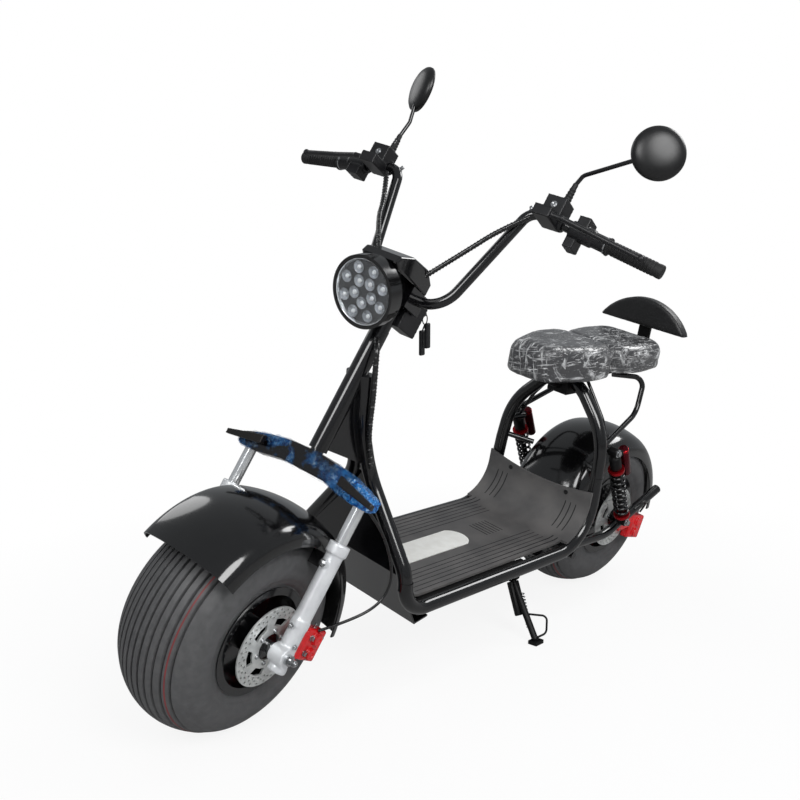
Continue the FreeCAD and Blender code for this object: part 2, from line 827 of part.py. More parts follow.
panel_front = 905
belly_front = 812
belly_low = 150
panel_upper = slab([
    Vector(panel_front, -34, 484), Vector(panel_front, 34, 484), Vector(panel_front, 92, 400),
    Vector(panel_front, 142, 300), Vector(panel_front, -142, 300), Vector(panel_front, -92, 400),
], Vector(-size.panel_thick, 0, 0))
panel_lower = slab([
    Vector(panel_front, -142, 300), Vector(panel_front, 142, 300),
    Vector(belly_front, 134, belly_low), Vector(belly_front, -134, belly_low),
], Vector(-size.panel_thick, 0, 0))
panel_foot = slab([
    Vector(belly_front, -134, belly_low), Vector(belly_front, 134, belly_low),
    Vector(belly_front - 42, 134, belly_low + 8), Vector(belly_front - 42, -134, belly_low + 8),
], Vector(0, 0, size.panel_thick))
panel = together([panel_upper, panel_lower, panel_foot]).cut(main_left).cut(main_right)
panel = largest(panel)
keep("nose_panel", panel, "frame")

battery = block((size.box_rear, -size.box_half, size.box_low),
                (size.box_front, size.box_half, size.deck_axis + 2))
battery = battery.makeFillet(8, [edge for edge in battery.Edges if edge.Length > 300])
battery = largest(battery.cut(panel_foot).cut(panel_lower))
keep("battery_box", battery, "frame")

brackets = []
for place in (size.box_front + 30, size.box_rear - 40):
    bar_end = Vector(place, size.tube_half, size.deck_axis + 4)
    bar = rod(Vector(place, -size.tube_half, size.deck_axis + 4), bar_end, 11)
    brackets.append(largest(bar.cut(main_left).cut(main_right).cut(battery).cut(panel)))


# Floor mat with its turned-up front and its flap behind

def strip(points, bends, thick, half):
    """A bent sheet: its path lies in the XZ plane and its width runs along Y."""
    path = route(points, bends)
    start = path.Edges[0].tangentAt(path.Edges[0].FirstParameter)
    side = start.cross(AXIS_Y).normalize()
    low = points[0] - side * (thick / 2)
    high = points[0] + side * (thick / 2)
    ends = [low + AXIS_Y * half, high + AXIS_Y * half, high - AXIS_Y * half, low - AXIS_Y * half]
    section = Part.Wire(Part.makePolygon(ends + [ends[0]]))
    return path.makePipeShell([section], True, False)


mat_axis = size.mat_top - size.mat_thick / 2
flap_place = size.hoop_place + size.tube_radius + 5.5
flap_half = 168
mat = strip([
    Vector(870, 0, 286),
    Vector(870, 0, mat_axis),
    Vector(flap_place, 0, mat_axis),
    Vector(flap_place, 0, size.flap_top),
], [40, size.rear_turn - size.tube_radius - 6], size.mat_thick, flap_half)
for low, high in ((size.mat_half, 200), (-200, -size.mat_half)):
    mat = mat.cut(block((300, low, 225), (900, high, 400)))
dip_radius = (flap_half ** 2 + size.flap_dip ** 2) / (2 * size.flap_dip)
dip = Part.makeCylinder(dip_radius, 60, Vector(210, 0, size.flap_top - size.flap_dip + dip_radius), AXIS_X)
mat = largest(mat.cut(dip).cut(main_left).cut(main_right))
keep("floor_mat", mat, "frame")

derived("pad_round", "pad_rear + pad_half")
derived("pad_arc", "pad_half + 3")
foot_pad = padded("foot_pad", "XY_Plane", ("pad_front", "-pad_half"), [
    ("pad_front", "pad_half"),
    ("pad_round", "pad_half"),
    ("pad_round", "-pad_half", "pad_arc", 1),
    ("pad_front", "-pad_half"),
], "pad_thick", False)
keep("foot_pad", foot_pad, "deck")


# Swinging arm with the rear axle, and the plates that carry it

arm_corners = [
    Vector(size.pivot_place, size.swing_half, size.pivot_height),
    Vector(62, size.swing_half, 197),
    Vector(-178, size.swing_half, 286),
]
arm_left = tube(arm_corners, [160], size.swing_radius)
arm_left = arm_left.cut(Part.makeCylinder(size.swing_radius - 2.5, 40, arm_corners[2],
                                          arm_corners[1] - arm_corners[2]))
arm_outer = size.swing_half + size.swing_radius
spindle = axle(size.swing_half - size.swing_radius, arm_outer)
spindle.translate(rear_axle)
pivot_bar = Vector(size.pivot_place - 14, 0, size.pivot_height)
swingarm = together([
    arm_left,
    mirrored(arm_left),
    Part.makeCylinder(14, 2 * size.swing_half, pivot_bar - AXIS_Y * size.swing_half, AXIS_Y),
    spindle,
])
keep("swingarm", swingarm, "frame")

plate = together([
    block((size.pivot_place - 38, 150, size.pivot_height - 18),
          (size.pivot_place + 22, 158, size.deck_axis + 8)),
    Part.makeCylinder(9, 46, Vector(pivot_bar.x, 132, pivot_bar.z - 4), AXIS_Y),
]).cut(main_left).cut(swingarm)
plate = largest(plate)
brackets += [plate, mirrored(plate)]


# Spring and damper units with their side reservoirs

shock_high = Vector(152, size.shock_half, 462)
shock_low = Vector(24, size.shock_half, 240)
shock_length = (shock_high - shock_low).Length
shock_along = (shock_high - shock_low).normalize()
shock_aside = Vector(-shock_along.z, 0, shock_along.x)
spring_low = 26
spring_high = shock_length - 62
coils = 9
pitch = (spring_high - spring_low) / coils
collar = size.shock_radius + 1
outline = [Vector(0, 0, 8), Vector(15, 0, 8), Vector(collar, 0, 18), Vector(collar, 0, spring_low)]
for coil in range(coils):
    base = spring_low + coil * pitch
    outline.append(Vector(size.shock_radius - 5, 0, base))
    outline.append(Vector(size.shock_radius, 0, base + pitch * 0.3))
    outline.append(Vector(size.shock_radius, 0, base + pitch * 0.7))
outline += [Vector(collar, 0, spring_high), Vector(collar, 0, spring_high + 8),
            Vector(16, 0, spring_high + 12), Vector(16, 0, shock_length - 8),
            Vector(0, 0, shock_length - 8)]
damper = Part.Face(Part.makePolygon(outline + [outline[0]])).revolve(Vector(), AXIS_Z, 360)
damper.Placement = Placement(shock_low, Rotation(AXIS_Z, shock_along))
eye_half = 12
tank_low = shock_low + shock_along * (shock_length - 108) + shock_aside * 40
shock = together([
    damper,
    Part.makeCylinder(13, 2 * eye_half, shock_low - AXIS_Y * eye_half, AXIS_Y),
    Part.makeCylinder(13, 2 * eye_half, shock_high - AXIS_Y * eye_half, AXIS_Y),
    rod(Vector(shock_low.x, arm_outer - 4, shock_low.z), shock_low + AXIS_Y * 4, 7),
    Part.makeCylinder(13, 94, tank_low, shock_along),
    Part.makeCylinder(8, 44, shock_low + shock_along * (shock_length - 24), shock_aside),
]).cut(swingarm).cut(main_left)
shock = largest(shock)
keep("shocks", pair(shock), "frame")

guard_stay = rod(Vector(150, 90, 400), Vector(206, 154, 414), 7)
guard_stay = largest(guard_stay.cut(rear_guard).cut(main_left).cut(hoop).cut(shock))
keep("rear_fender", together([rear_guard, guard_stay, mirrored(guard_stay)]), "frame")

hanger = together([
    rod(Vector(152, 136, 462), Vector(205, 146, 462), 9),
    Part.makeCylinder(8, 12, Vector(152, 136, 462), AXIS_Y),
]).cut(main_left).cut(hoop).cut(shock).cut(rear_guard)
hanger = largest(hanger)
brackets += [hanger, mirrored(hanger)]

rear_caliper = caliper()
rear_caliper.Placement = Placement(rear_axle + Vector(-64, 0, -34), Rotation(AXIS_Y, -14))
rear_tab = block((-80, 131, size.tyre_radius - 38), (-8, 138, size.tyre_radius + 22))
rear_tab = largest(rear_tab.cut(rear_caliper).cut(swingarm))
rear_caliper = rear_caliper.fuse(rear_tab)
keep("rear_caliper", rear_caliper, "frame")


# Saddles on their pans, back pad on its post, and the thin supports

def cushion(corners, bends, low, high, top_round, low_round):
    """A soft pad: a rounded plan outline with both rims rounded over."""
    left = [Vector(place, half, low) for place, half in corners]
    ring = left + [Vector(point.x, -point.y, point.z) for point in reversed(left)]
    turns = list(bends) + list(reversed(bends))
    start = (ring[0] + ring[-1]) * 0.5
    body = Part.Face(route([start] + ring + [start], turns)).extrude(AXIS_Z * (high - low))
    top = [edge for edge in body.Edges if edge.BoundBox.ZMin > high - 1]
    body = body.makeFillet(top_round, top)
    under = [edge for edge in body.Edges if edge.BoundBox.ZMax < low + 1]
    return body.makeFillet(low_round, under)


nose = size.seat_front_nose
tail = size.seat_front_rear
wide = size.seat_front_half
front_seat = cushion([(nose, 58), (nose - 150, wide + 4), (tail, wide - 6)], [52, 190, 50],
                     size.seat_low, size.seat_high, 36, 10)
keep("front_seat", front_seat, "frame")

back_end = size.seat_rear_back
rear_wide = size.seat_rear_half
rear_seat = cushion([(size.seat_rear_front, rear_wide - 16), (size.seat_rear_front - 105, rear_wide + 1),
                     (back_end, rear_wide - 10)], [54, 260, 56],
                    size.pillion_low, size.pillion_high, 28, 10)
keep("rear_seat", rear_seat, "frame")

pan_thick = 8
soft_gap = 0.3
post_rear = size.back_place - 18
post_front = post_rear + 8
front_pan = together([
    block((size.hoop_place - 62, -60, size.seat_low - pan_thick),
          (size.hoop_place + 110, 60, size.seat_low - soft_gap)),
    block((size.hoop_place - 38, -30, size.seat_low - 58),
          (size.hoop_place + 22, 30, size.seat_low - pan_thick)),
    rod(Vector(size.hoop_place + 96, 0, size.seat_low - 12),
        Vector(size.hoop_place + 8, 0, size.seat_low - 44), 9),
]).cut(hoop)
front_pan = largest(front_pan)
rear_pan = together([
    block((post_front, -62, size.pillion_low - pan_thick),
          (size.seat_front_rear - 6, 62, size.pillion_low - soft_gap)),
    block((post_rear, -18, size.pillion_low - pan_thick), (post_front, 18, size.back_low - soft_gap)),
])

c_support = tube([
    Vector(size.hoop_place - 6, 148, 476),
    Vector(22, 126, 540),
    Vector(-8, 112, size.pillion_low - 14),
    Vector(64, 56, size.pillion_low - 14),
], [60, 26], 7)
strut = tube([
    Vector(160, 143, 470),
    Vector(160, 112, 536),
    Vector(164, 40, size.seat_low - 12),
], [90], 4.5)
support = together([c_support, strut])
for neighbour in (main_left, hoop, front_pan, rear_pan, shock, hanger):
    support = support.cut(neighbour)
support = largest(support)
keep("seat_supports", pair(support), "frame")
keep("seat_pans", Part.makeCompound([front_pan, rear_pan]), "frame")

back_outline = Part.Wire([
    Part.makeLine(Vector(0, -size.back_half, size.back_low), Vector(0, size.back_half, size.back_low)),
    Part.Arc(Vector(0, size.back_half, size.back_low), Vector(0, 0, size.back_high),
             Vector(0, -size.back_half, size.back_low)).toShape(),
])
back_pad = Part.Face(back_outline).extrude(AXIS_X * size.back_thick)
back_pad = back_pad.makeFillet(7, [edge for edge in back_pad.Edges if edge.Length > 60])
back_pad.translate(AXIS_X * (size.back_place - size.back_thick / 2))
keep("back_pad", back_pad, "frame")


# Tail lamp on the rear mudguard

tail_turn = math.radians(150)
guard_reach = rear_guard.BoundBox.ZMax - size.rear_guard_height
tail_spot = Vector(size.rear_guard_place + guard_reach * math.cos(tail_turn), 0,
                   size.rear_guard_height + guard_reach * math.sin(tail_turn))
tail_lamp = together([
    Part.makeCylinder(26, 20, tail_spot + Vector(-30, 0, 0), AXIS_X),
    block((tail_spot.x - 12, -14, tail_spot.z - 22), (tail_spot.x + 20, 14, tail_spot.z + 14)),
]).cut(rear_guard)
keep("tail_lamp", max(tail_lamp.Solids, key=lambda item: -item.CenterOfMass.x), "frame")


# Side stand: its bracket is on the frame, its leg reaches the floor

def standing_box(shape, place):
    copy = shape.copy()
    copy.Placement = place * copy.Placement
    return copy.optimalBoundingBox(False, False)


doc.recompute()
tyre_shape = [item for label, item, group in nodes if label == "front_tyre"][0].Shape
front_wheel_place = turned * Placement(front_axle, Rotation())
rear_wheel_place = Placement(rear_axle, Rotation())
level = Placement()
for attempt in range(3):
    rear_floor = standing_box(tyre_shape, level * leaned * rear_wheel_place).ZMin
    front_floor = standing_box(tyre_shape, level * leaned * front_wheel_place).ZMin
    pitch_turn = math.degrees(math.atan2(front_floor - rear_floor, size.wheel_base))
    level = Placement(Vector(), Rotation(AXIS_Y, pitch_turn)) * level
parked = level * leaned
floor_height = standing_box(tyre_shape, parked * rear_wheel_place).ZMin

pivot = Vector(size.stand_pivot_forward, size.stand_pivot_half, size.stand_pivot_height)
pivot_floor = parked.multVec(pivot)
foot_floor = parked.multVec(Vector(size.stand_foot_forward, size.stand_foot_half, 44))
foot_floor.z = floor_height
sole = 4
ankle = Vector(foot_floor.x, foot_floor.y - 3, floor_height + sole + size.stand_radius)
leg_run = pivot_floor - ankle
fold_aside = -0.1
hinge_axis = leg_run.cross(Vector(1, fold_aside, 0)).normalize()
eye_thick = 2 * size.stand_radius + 1
pin_radius = 5
toe = ankle + Vector(leg_run).normalize() * 62
stand_leg = together([
    Part.makeCylinder(size.stand_radius, leg_run.Length, ankle, leg_run),
    Part.makeSphere(size.stand_radius, ankle),
    Part.makeCylinder(12, eye_thick, pivot_floor - hinge_axis * (eye_thick / 2), hinge_axis),
    Part.makeBox(30, 24, sole + 5, Vector(foot_floor.x - 15, foot_floor.y - 12, floor_height)),
    tube([
        toe + Vector(-4, 6, 0),
        ankle + Vector(-34, 10, 50),
        ankle + Vector(-30, 12, 8),
        ankle + Vector(0, 6, 4),
    ], [12, 12], 2.5),
]).cut(Part.makeCylinder(pin_radius + size.bearing_gap, 2 * eye_thick,
                         pivot_floor - hinge_axis * eye_thick, hinge_axis))
keep("stand_leg", stand_leg, "stand")

bracket_axis = parked.inverse().Rotation.multVec(hinge_axis)
cheek_gap = eye_thick / 2 + 0.6
cheek_thick = 5
pin_head = 4
stand_bracket = together([
    Part.makeCylinder(16, cheek_thick, pivot + bracket_axis * cheek_gap, bracket_axis),
    rod(pivot + bracket_axis * (cheek_gap + cheek_thick / 2),
        Vector(pivot.x, size.tube_half, size.deck_axis), 10),
    Part.makeCylinder(pin_radius, 2 * cheek_gap, pivot - bracket_axis * cheek_gap, bracket_axis),
    Part.makeCylinder(9, pin_head, pivot - bracket_axis * (cheek_gap + pin_head), bracket_axis),
]).cut(battery).cut(main_left)
brackets.append(largest(stand_bracket))
keep("frame_brackets", Part.makeCompound(brackets), "frame")


# Keys: they hang straight down from the lock, on one ring

hang = (parked * turned * fork_frame).inverse().Rotation
down = hang.multVec(Vector(0, 0, -1))
lock = Vector(ignition_rear, 18, bar_height - 4)
barrel = 9
key_ring = 11
ring_wire = 1.2
fob_half = 8.5
fob_thick = 8
fob_length = 54
ring_place = lock + Vector(-barrel - 4, 0, 0) + down * (key_ring - 2)
fob_side = Vector(down).cross(AXIS_X).normalize()
fob_out = fob_side.cross(down).normalize()
keys = [
    Part.makeCylinder(6, barrel, lock, AXIS_X * -1),
    Part.makeTorus(key_ring, ring_wire, ring_place, fob_side),
]
for aside, drop in ((-6, 8), (7, 24)):
    top = ring_place + fob_side * aside + down * drop
    fob = Part.makeBox(2 * fob_half, fob_thick, fob_length, Vector(-fob_half, -fob_thick / 2, 0))
    fob = fob.makeFillet(3, fob.Edges)
    fob.Placement = Placement(top, Rotation(fob_out, fob_side, down, "ZXY"))
    strap = rod(ring_place + down * key_ring, top + down * 4, 1.6)
    keys += [fob, strap]
keep("keys", together(keys), "fork")


# Cables held along their routes

left_loom = tube([
    Vector(-14, 184, 980), Vector(-6, 140, 933), Vector(4, 104, 873), Vector(8, dash_half - 4, 788),
], [60, 60], 6).cut(dash).cut(perch)
right_loom = tube([
    Vector(-14, -184, 980), Vector(-8, -150, 917), Vector(20, -122, 866), Vector(64, 4 - dash_half, 782),
], [60, 60], 6).cut(dash).cut(mirrored(perch))
front_hose = tube([
    Vector(-14, 150, 322), Vector(-70, 168, 302), Vector(-126, 196, 252), Vector(-158, 206, 206),
    Vector(-160, 203, 158), Vector(-128, 180, 106), Vector(-96, 146, 56),
], [34, 50, 40, 40, 50], 3)
doc.recompute()
for neighbour in (fork_crown.Shape, front_caliper, leg_left, stanchion):
    front_hose = front_hose.cut(neighbour)
held = [largest(cable) for cable in (left_loom, right_loom, front_hose)]
keep("bar_cables", Part.makeCompound(held), "fork")

neck_loom = tube([
    Vector(961, 44, 750), Vector(953, 43, 668), Vector(951, 42, 600), Vector(936, 42, 540),
    Vector(893, 60, 470),
], [200, 160, 60], 7).cut(main_left).cut(head_solid).cut(panel)
rear_hose = tube([
    Vector(-104, 140, 230), Vector(-112, 152, 262), Vector(-84, 153, 274), Vector(-58, 146, 252),
], [9, 9], 2.5).cut(rear_caliper).cut(swingarm)
keep("frame_cables", Part.makeCompound([largest(neck_loom), largest(rear_hose)]), "frame")


# Placements: every group leans on the stand with the steering at rest

placed = {
    "frame": parked,
    "deck": parked * Placement(Vector(0, 0, size.mat_top), Rotation()),
    "fork": parked * turned * fork_frame,
    "lamp": parked * turned * fork_frame * lamp_place,
    "front_wheel": parked * front_wheel_place,
    "rear_wheel": parked * rear_wheel_place,
    "stand": Placement(),
}
whole = None
for label, item, group in nodes:
    base = item.Placement if item.TypeId == "Part::Feature" else Placement()
    item.Placement = placed[group] * base
doc.recompute()
for label, item, group in nodes:
    if not item.Shape.Solids:
        raise RuntimeError("no solid in " + label)
    box = item.Shape.optimalBoundingBox(False, False)
    whole = box if whole is None else whole.united(box)
home = Placement(Vector(-whole.Center.x, -whole.Center.y, -floor_height), Rotation())
for label, item, group in nodes:
    item.Placement = home * item.Placement
doc.recompute()

faults = [item.Name for item in doc.Objects if "Invalid" in item.State or "Error" in item.State]
for label, item, group in nodes:
    if item.Shape.isNull() or not item.Shape.isValid() or not item.Shape.Solids:
        faults.append(label)
if faults:
    raise RuntimeError("faulty: " + ", ".join(faults))
for label, item, group in nodes:
    item.Shape.exportStep("parts/%s.step" % label)
print(len(nodes), "nodes", [round(side) for side in (whole.XLength, whole.YLength, whole.ZLength)])
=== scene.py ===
import json
import math

import bpy
from mathutils import Matrix, Vector, noise


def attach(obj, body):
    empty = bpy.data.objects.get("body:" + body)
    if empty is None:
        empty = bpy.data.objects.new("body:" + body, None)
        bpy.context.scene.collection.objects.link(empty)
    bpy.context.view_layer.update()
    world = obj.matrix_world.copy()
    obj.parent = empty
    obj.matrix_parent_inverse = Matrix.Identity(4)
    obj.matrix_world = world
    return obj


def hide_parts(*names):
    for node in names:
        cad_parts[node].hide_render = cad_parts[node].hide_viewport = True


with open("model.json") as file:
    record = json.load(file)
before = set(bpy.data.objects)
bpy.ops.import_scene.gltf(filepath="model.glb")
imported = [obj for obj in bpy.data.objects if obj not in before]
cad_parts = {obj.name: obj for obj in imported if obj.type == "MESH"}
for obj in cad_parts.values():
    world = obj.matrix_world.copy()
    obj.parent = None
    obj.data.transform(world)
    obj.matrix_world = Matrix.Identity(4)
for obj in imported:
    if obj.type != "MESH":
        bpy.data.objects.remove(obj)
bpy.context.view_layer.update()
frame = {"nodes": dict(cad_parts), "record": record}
nodes = frame["nodes"]
bpy.ops.object.select_all(action="DESELECT")
print("frame loaded,", len(nodes), "nodes")

# Where things are: the scooter upright, and its raked and turned fork, in metres and degrees
stance = {
    "lean": -11.8,        # on its side stand
    "pitch": 0.0546,
    "shift": (-0.59897, -0.21373, 0.00284),
    "rake": 28.2,
    "steer": 8.6,
    "forkOrigin": (1.2262, 0, 0.2233),
    "frontAxle": (0.010, 0, 0),       # ahead of the fork's legs
    "rearAxle": (0, 0, 0.228),
    "lampPlace": (0.118, 0, 0.689),
    "lampTilt": 5.0,
}


def turn(degrees, axis):
    return Matrix.Rotation(math.radians(degrees), 4, axis)


parked = Matrix.Translation(stance["shift"]) @ turn(stance["pitch"], "Y") @ turn(stance["lean"], "X")
straightFork = Matrix.Translation(stance["forkOrigin"]) @ turn(-stance["rake"], "Y")
steered = straightFork @ turn(stance["steer"], "Z") @ straightFork.inverted()
forkSpace = parked @ steered @ straightFork
frontWheelSpace = forkSpace @ Matrix.Translation(stance["frontAxle"])
rearWheelSpace = parked @ Matrix.Translation(stance["rearAxle"])
lampSpace = (parked @ steered @ Matrix.Translation(straightFork @ Vector(stance["lampPlace"]))
             @ turn(stance["lampTilt"], "Y"))
spaces = {"frame": parked, "stand": parked, "fork": forkSpace, "front_wheel": frontWheelSpace,
          "rear_wheel": rearWheelSpace}


# Camera, lights and floor
def addCamera():
    view = {
        "place": (1.78186, 1.40614, 0.97633),
        "right": (-0.69232, 0.72159, 0.0007),
        "up": (-0.11129, -0.10773, 0.98793),
        "back": (0.71296, 0.68388, 0.15489),
        "lens": 45.58,
        "sensor": 36,
        "shift": (0.0014, -0.0085),
    }
    bpy.ops.object.camera_add()
    camera = bpy.context.object
    sides = Matrix((view["right"], view["up"], view["back"])).transposed()
    camera.matrix_world = Matrix.Translation(view["place"]) @ sides.to_4x4()
    camera.data.lens = view["lens"]
    camera.data.sensor_width = view["sensor"]
    camera.data.shift_x, camera.data.shift_y = view["shift"]
    bpy.context.scene.camera = camera


def addLights():
    lamps = [
        # place, target, size, power
        ((1.2, 3.2, 2.9), (0.0, 0.0, 0.4), 2.4, 110),     # big window light on the near left side
        ((3.4, 0.9, 2.7), (0.3, 0.0, 0.5), 1.6, 46),      # softbox ahead of the front wheel
        ((-2.6, 0.6, 2.6), (-0.4, 0.0, 0.5), 1.4, 34),    # behind, for the edges of the seats
        ((0.0, -2.8, 2.4), (0.0, 0.0, 0.4), 1.6, 12),     # far side
    ]
    for place, target, side, power in lamps:
        bpy.ops.object.light_add(type="AREA", location=place)
        lamp = bpy.context.object
        lamp.data.shape = "DISK"
        lamp.data.size = side
        lamp.data.energy = power
        lamp.rotation_euler = (Vector(target) - Vector(place)).to_track_quat("-Z", "Y").to_euler()


# Materials, with colours given as sRGB hex values
def hexColour(code):
    parts = [int(code[i:i + 2], 16) / 255 for i in (1, 3, 5)]
    linear = [p / 12.92 if p <= 0.04045 else ((p + 0.055) / 1.055) ** 2.4 for p in parts]
    return (*linear, 1)


# Where a link names only a node, its first output is taken
def linkTo(tree, node, sources):
    for name, source in sources.items():
        socket = source.outputs[0] if hasattr(source, "outputs") else source
        tree.links.new(socket, node.inputs[name])


def addNode(tree, kind, values=None, links=None, **settings):
    node = tree.nodes.new("ShaderNode" + kind)
    for name, value in settings.items():
        setattr(node, name, value)
    for name, value in (values or {}).items():
        node.inputs[name].default_value = value
    linkTo(tree, node, links or {})
    return node


def emptyTree(owner):
    owner.use_nodes = True
    owner.node_tree.nodes.clear()
    return owner.node_tree


def newMaterial(name):
    material = bpy.data.materials.new(name)
    tree = emptyTree(material)
    shader = addNode(tree, "BsdfPrincipled")
    addNode(tree, "OutputMaterial", links={"Surface": shader})
    place = addNode(tree, "TexCoord").outputs["Object"]
    return material, tree, shader, place


# Colour with a second tone in soft patches, roughness that varies, and a fine surface grain. A look that
# doesn't say has patches of 40 mm, a grain of 2 mm that is 0.1 mm deep, and Blender's own IOR of 1.5.
def finish(name, look):
    material, tree, shader, place = newMaterial(name)
    patch = addNode(tree, "TexNoise", {"Scale": 1000 / look.get("patchMm", 40), "Detail": 4.0},
                    {"Vector": place})
    tones = addNode(tree, "ValToRGB", links={"Fac": patch})
    tones.color_ramp.elements[0].position = 0.35
    tones.color_ramp.elements[1].position = 0.7
    tones.color_ramp.elements[0].color = hexColour(look["colour"])
    tones.color_ramp.elements[1].color = hexColour(look.get("second", look["colour"]))
    grain = addNode(tree, "TexNoise", {"Scale": 1000 / look.get("grainMm", 2), "Detail": 3.0},
                    {"Vector": place})
    spread = look.get("roughSpread", 0.06)
    rough = addNode(tree, "MapRange",
                    {"To Min": look["rough"] - spread, "To Max": look["rough"] + spread},
                    {"Value": patch})
    bump = addNode(tree, "Bump",
                   {"Strength": look.get("bump", 0.05), "Distance": look.get("depthMm", 0.1) / 1000},
                   {"Height": grain})
    linkTo(tree, shader, {"Base Color": tones, "Roughness": rough, "Normal": bump})
    for socket, key in (("Metallic", "metal"), ("IOR", "ior"), ("Coat Weight", "coat"),
                        ("Coat Roughness", "coatRough"), ("Transmission Weight", "clear"),
                        ("Sheen Weight", "sheen")):
        if key in look:
            shader.inputs[socket].default_value = look[key]
    return material


looks = {
    # sprayed enamel under clear lacquer on steel tube: deep black, mirror-like with a faint orange peel
    "blackLacquer": {"colour": "#08080a", "second": "#0b0b0d", "rough": 0.16, "coat": 0.6, "coatRough": 0.06,
                     "grainMm": 3, "depthMm": 0.15},
    # mirror backs: moulded black that gives a soft broad sheen
    "softSheen": {"colour": "#0b0b0c", "second": "#111112", "rough": 0.36, "bump": 0.04, "ior": 1.55},
    # moulded ABS mudguards, the glossiest black of all
    "glossAbs": {"colour": "#070708", "second": "#0a0a0b", "rough": 0.15, "coat": 0.7, "coatRough": 0.07,
                 "grainMm": 6, "bump": 0.03, "depthMm": 0.2, "ior": 1.53},
    # powder coat: satin black with a fine texture
    "powderCoat": {"colour": "#09090a", "second": "#0e0e0f", "rough": 0.46, "ior": 1.32, "grainMm": 0.8,
                   "bump": 0.2, "depthMm": 0.12},
    # moulded satin plastic of switches and levers
    "satinPlastic": {"colour": "#0f0f11", "second": "#17171a", "rough": 0.38, "grainMm": 1.0, "bump": 0.14},
    # silver paint over cast aluminium: pale grey, soft metallic shine and a little casting grain
    "silverCasting": {"colour": "#d3d5d8", "second": "#e2e4e6", "rough": 0.36, "metal": 0.35, "grainMm": 1.4,
                      "bump": 0.18, "depthMm": 0.15},
    # hard chrome on the fork's inner tubes
    "hardChrome": {"colour": "#eceef0", "second": "#f4f5f6", "rough": 0.17, "metal": 0.8, "bump": 0.01,
                   "roughSpread": 0.02},
    # turned and ground stainless disc
    "groundSteel": {"colour": "#c9cbca", "second": "#dddfdd", "rough": 0.32, "metal": 0.65, "grainMm": 0.6,
                    "bump": 0.12, "depthMm": 0.05, "patchMm": 12},
    # zinc-plated fasteners
    "zincPlate": {"colour": "#b9bbbd", "second": "#d0d1d2", "rough": 0.25, "metal": 1.0, "grainMm": 1.0,
                  "bump": 0.06},
    # red enamel on the brake castings
    "redEnamel": {"colour": "#c20d14", "second": "#d6161c", "rough": 0.24, "coat": 0.5, "grainMm": 1.5,
                  "bump": 0.1},
    # tyre compound: dark warm grey, dull, with a dry bloom in patches
    "tyreCompound": {"colour": "#474748", "second": "#515152", "rough": 0.5, "grainMm": 1.2, "bump": 0.3,
                     "depthMm": 0.2, "patchMm": 14},
    # soft grip rubber
    "gripRubber": {"colour": "#121213", "second": "#1a1a1b", "rough": 0.62, "grainMm": 0.8, "bump": 0.25,
                   "depthMm": 0.15},
    # moulded rubber mat: charcoal with a dusty bloom
    "matRubber": {"colour": "#504f4f", "second": "#636160", "rough": 0.42, "grainMm": 0.9, "bump": 0.25,
                  "depthMm": 0.15, "patchMm": 70},
    # pale grey plate let into the mat
    "paleInsert": {"colour": "#f0efea", "second": "#fafaf6", "rough": 0.4, "grainMm": 1.0, "bump": 0.12,
                   "depthMm": 0.1, "patchMm": 25},
    # PVC sheath of cables and looms
    "cableSheath": {"colour": "#0d0d0e", "second": "#151516", "rough": 0.28, "coat": 0.5, "grainMm": 0.8,
                    "bump": 0.06},
    # red anodised collars of the sprung units
    "redAnodised": {"colour": "#a3101a", "second": "#b5141f", "rough": 0.26, "metal": 0.8, "grainMm": 0.7},
    # red stripe moulded in the tread
    "redRubber": {"colour": "#6a2426", "second": "#7e3032", "rough": 0.6, "grainMm": 0.8, "bump": 0.2},
    # clear lamp cover
    "clearPolycarbonate": {"colour": "#f4f6f8", "rough": 0.03, "clear": 1.0, "ior": 1.45, "bump": 0.0,
                           "roughSpread": 0.01},
    # smoked reflector cups round the lamp's emitters
    "silveredCup": {"colour": "#85888c", "second": "#a3a6aa", "rough": 0.18, "metal": 1.0,
                    "roughSpread": 0.05},
    # the emitters' caps, white all over: painted glints
    "glintWhiteCap": {"colour": "#f4f6f8", "second": "#ffffff", "rough": 0.12, "coat": 1.0},
    # dark red anodised side reservoirs
    "darkRedAnodised": {"colour": "#4d0d17", "second": "#61131f", "rough": 0.24, "metal": 0.8,
                        "grainMm": 0.7},
    # moulded grooves of the mat, near black: painted shade of the grooves, also used for the mat's buttons
    "grooveShadeBlack": {"colour": "#101011", "second": "#1a1a1b", "rough": 0.6, "grainMm": 0.9, "bump": 0.25},
    # lamp's inner plate, very dark grey
    "lampPlate": {"colour": "#1c1e21", "second": "#26292d", "rough": 0.3, "metal": 0.5},
    # smoked lens of the turn signals
    "smokedLens": {"colour": "#0d0b0a", "second": "#17120f", "rough": 0.22, "coat": 0.3},
    # red tail lens
    "redLens": {"colour": "#7d0a0e", "second": "#960f13", "rough": 0.1, "coat": 0.6},
    # silvered mirror glass
    "mirrorGlass": {"colour": "#e6e9ec", "second": "#e6e9ec", "rough": 0.02, "metal": 1.0, "bump": 0.0,
                    "roughSpread": 0.01},
    # synthetic leather of the back pad, fine grain
    "plainLeather": {"colour": "#101011", "second": "#161617", "rough": 0.4, "grainMm": 1.4, "bump": 0.35,
                     "depthMm": 0.2, "sheen": 0.05},
}
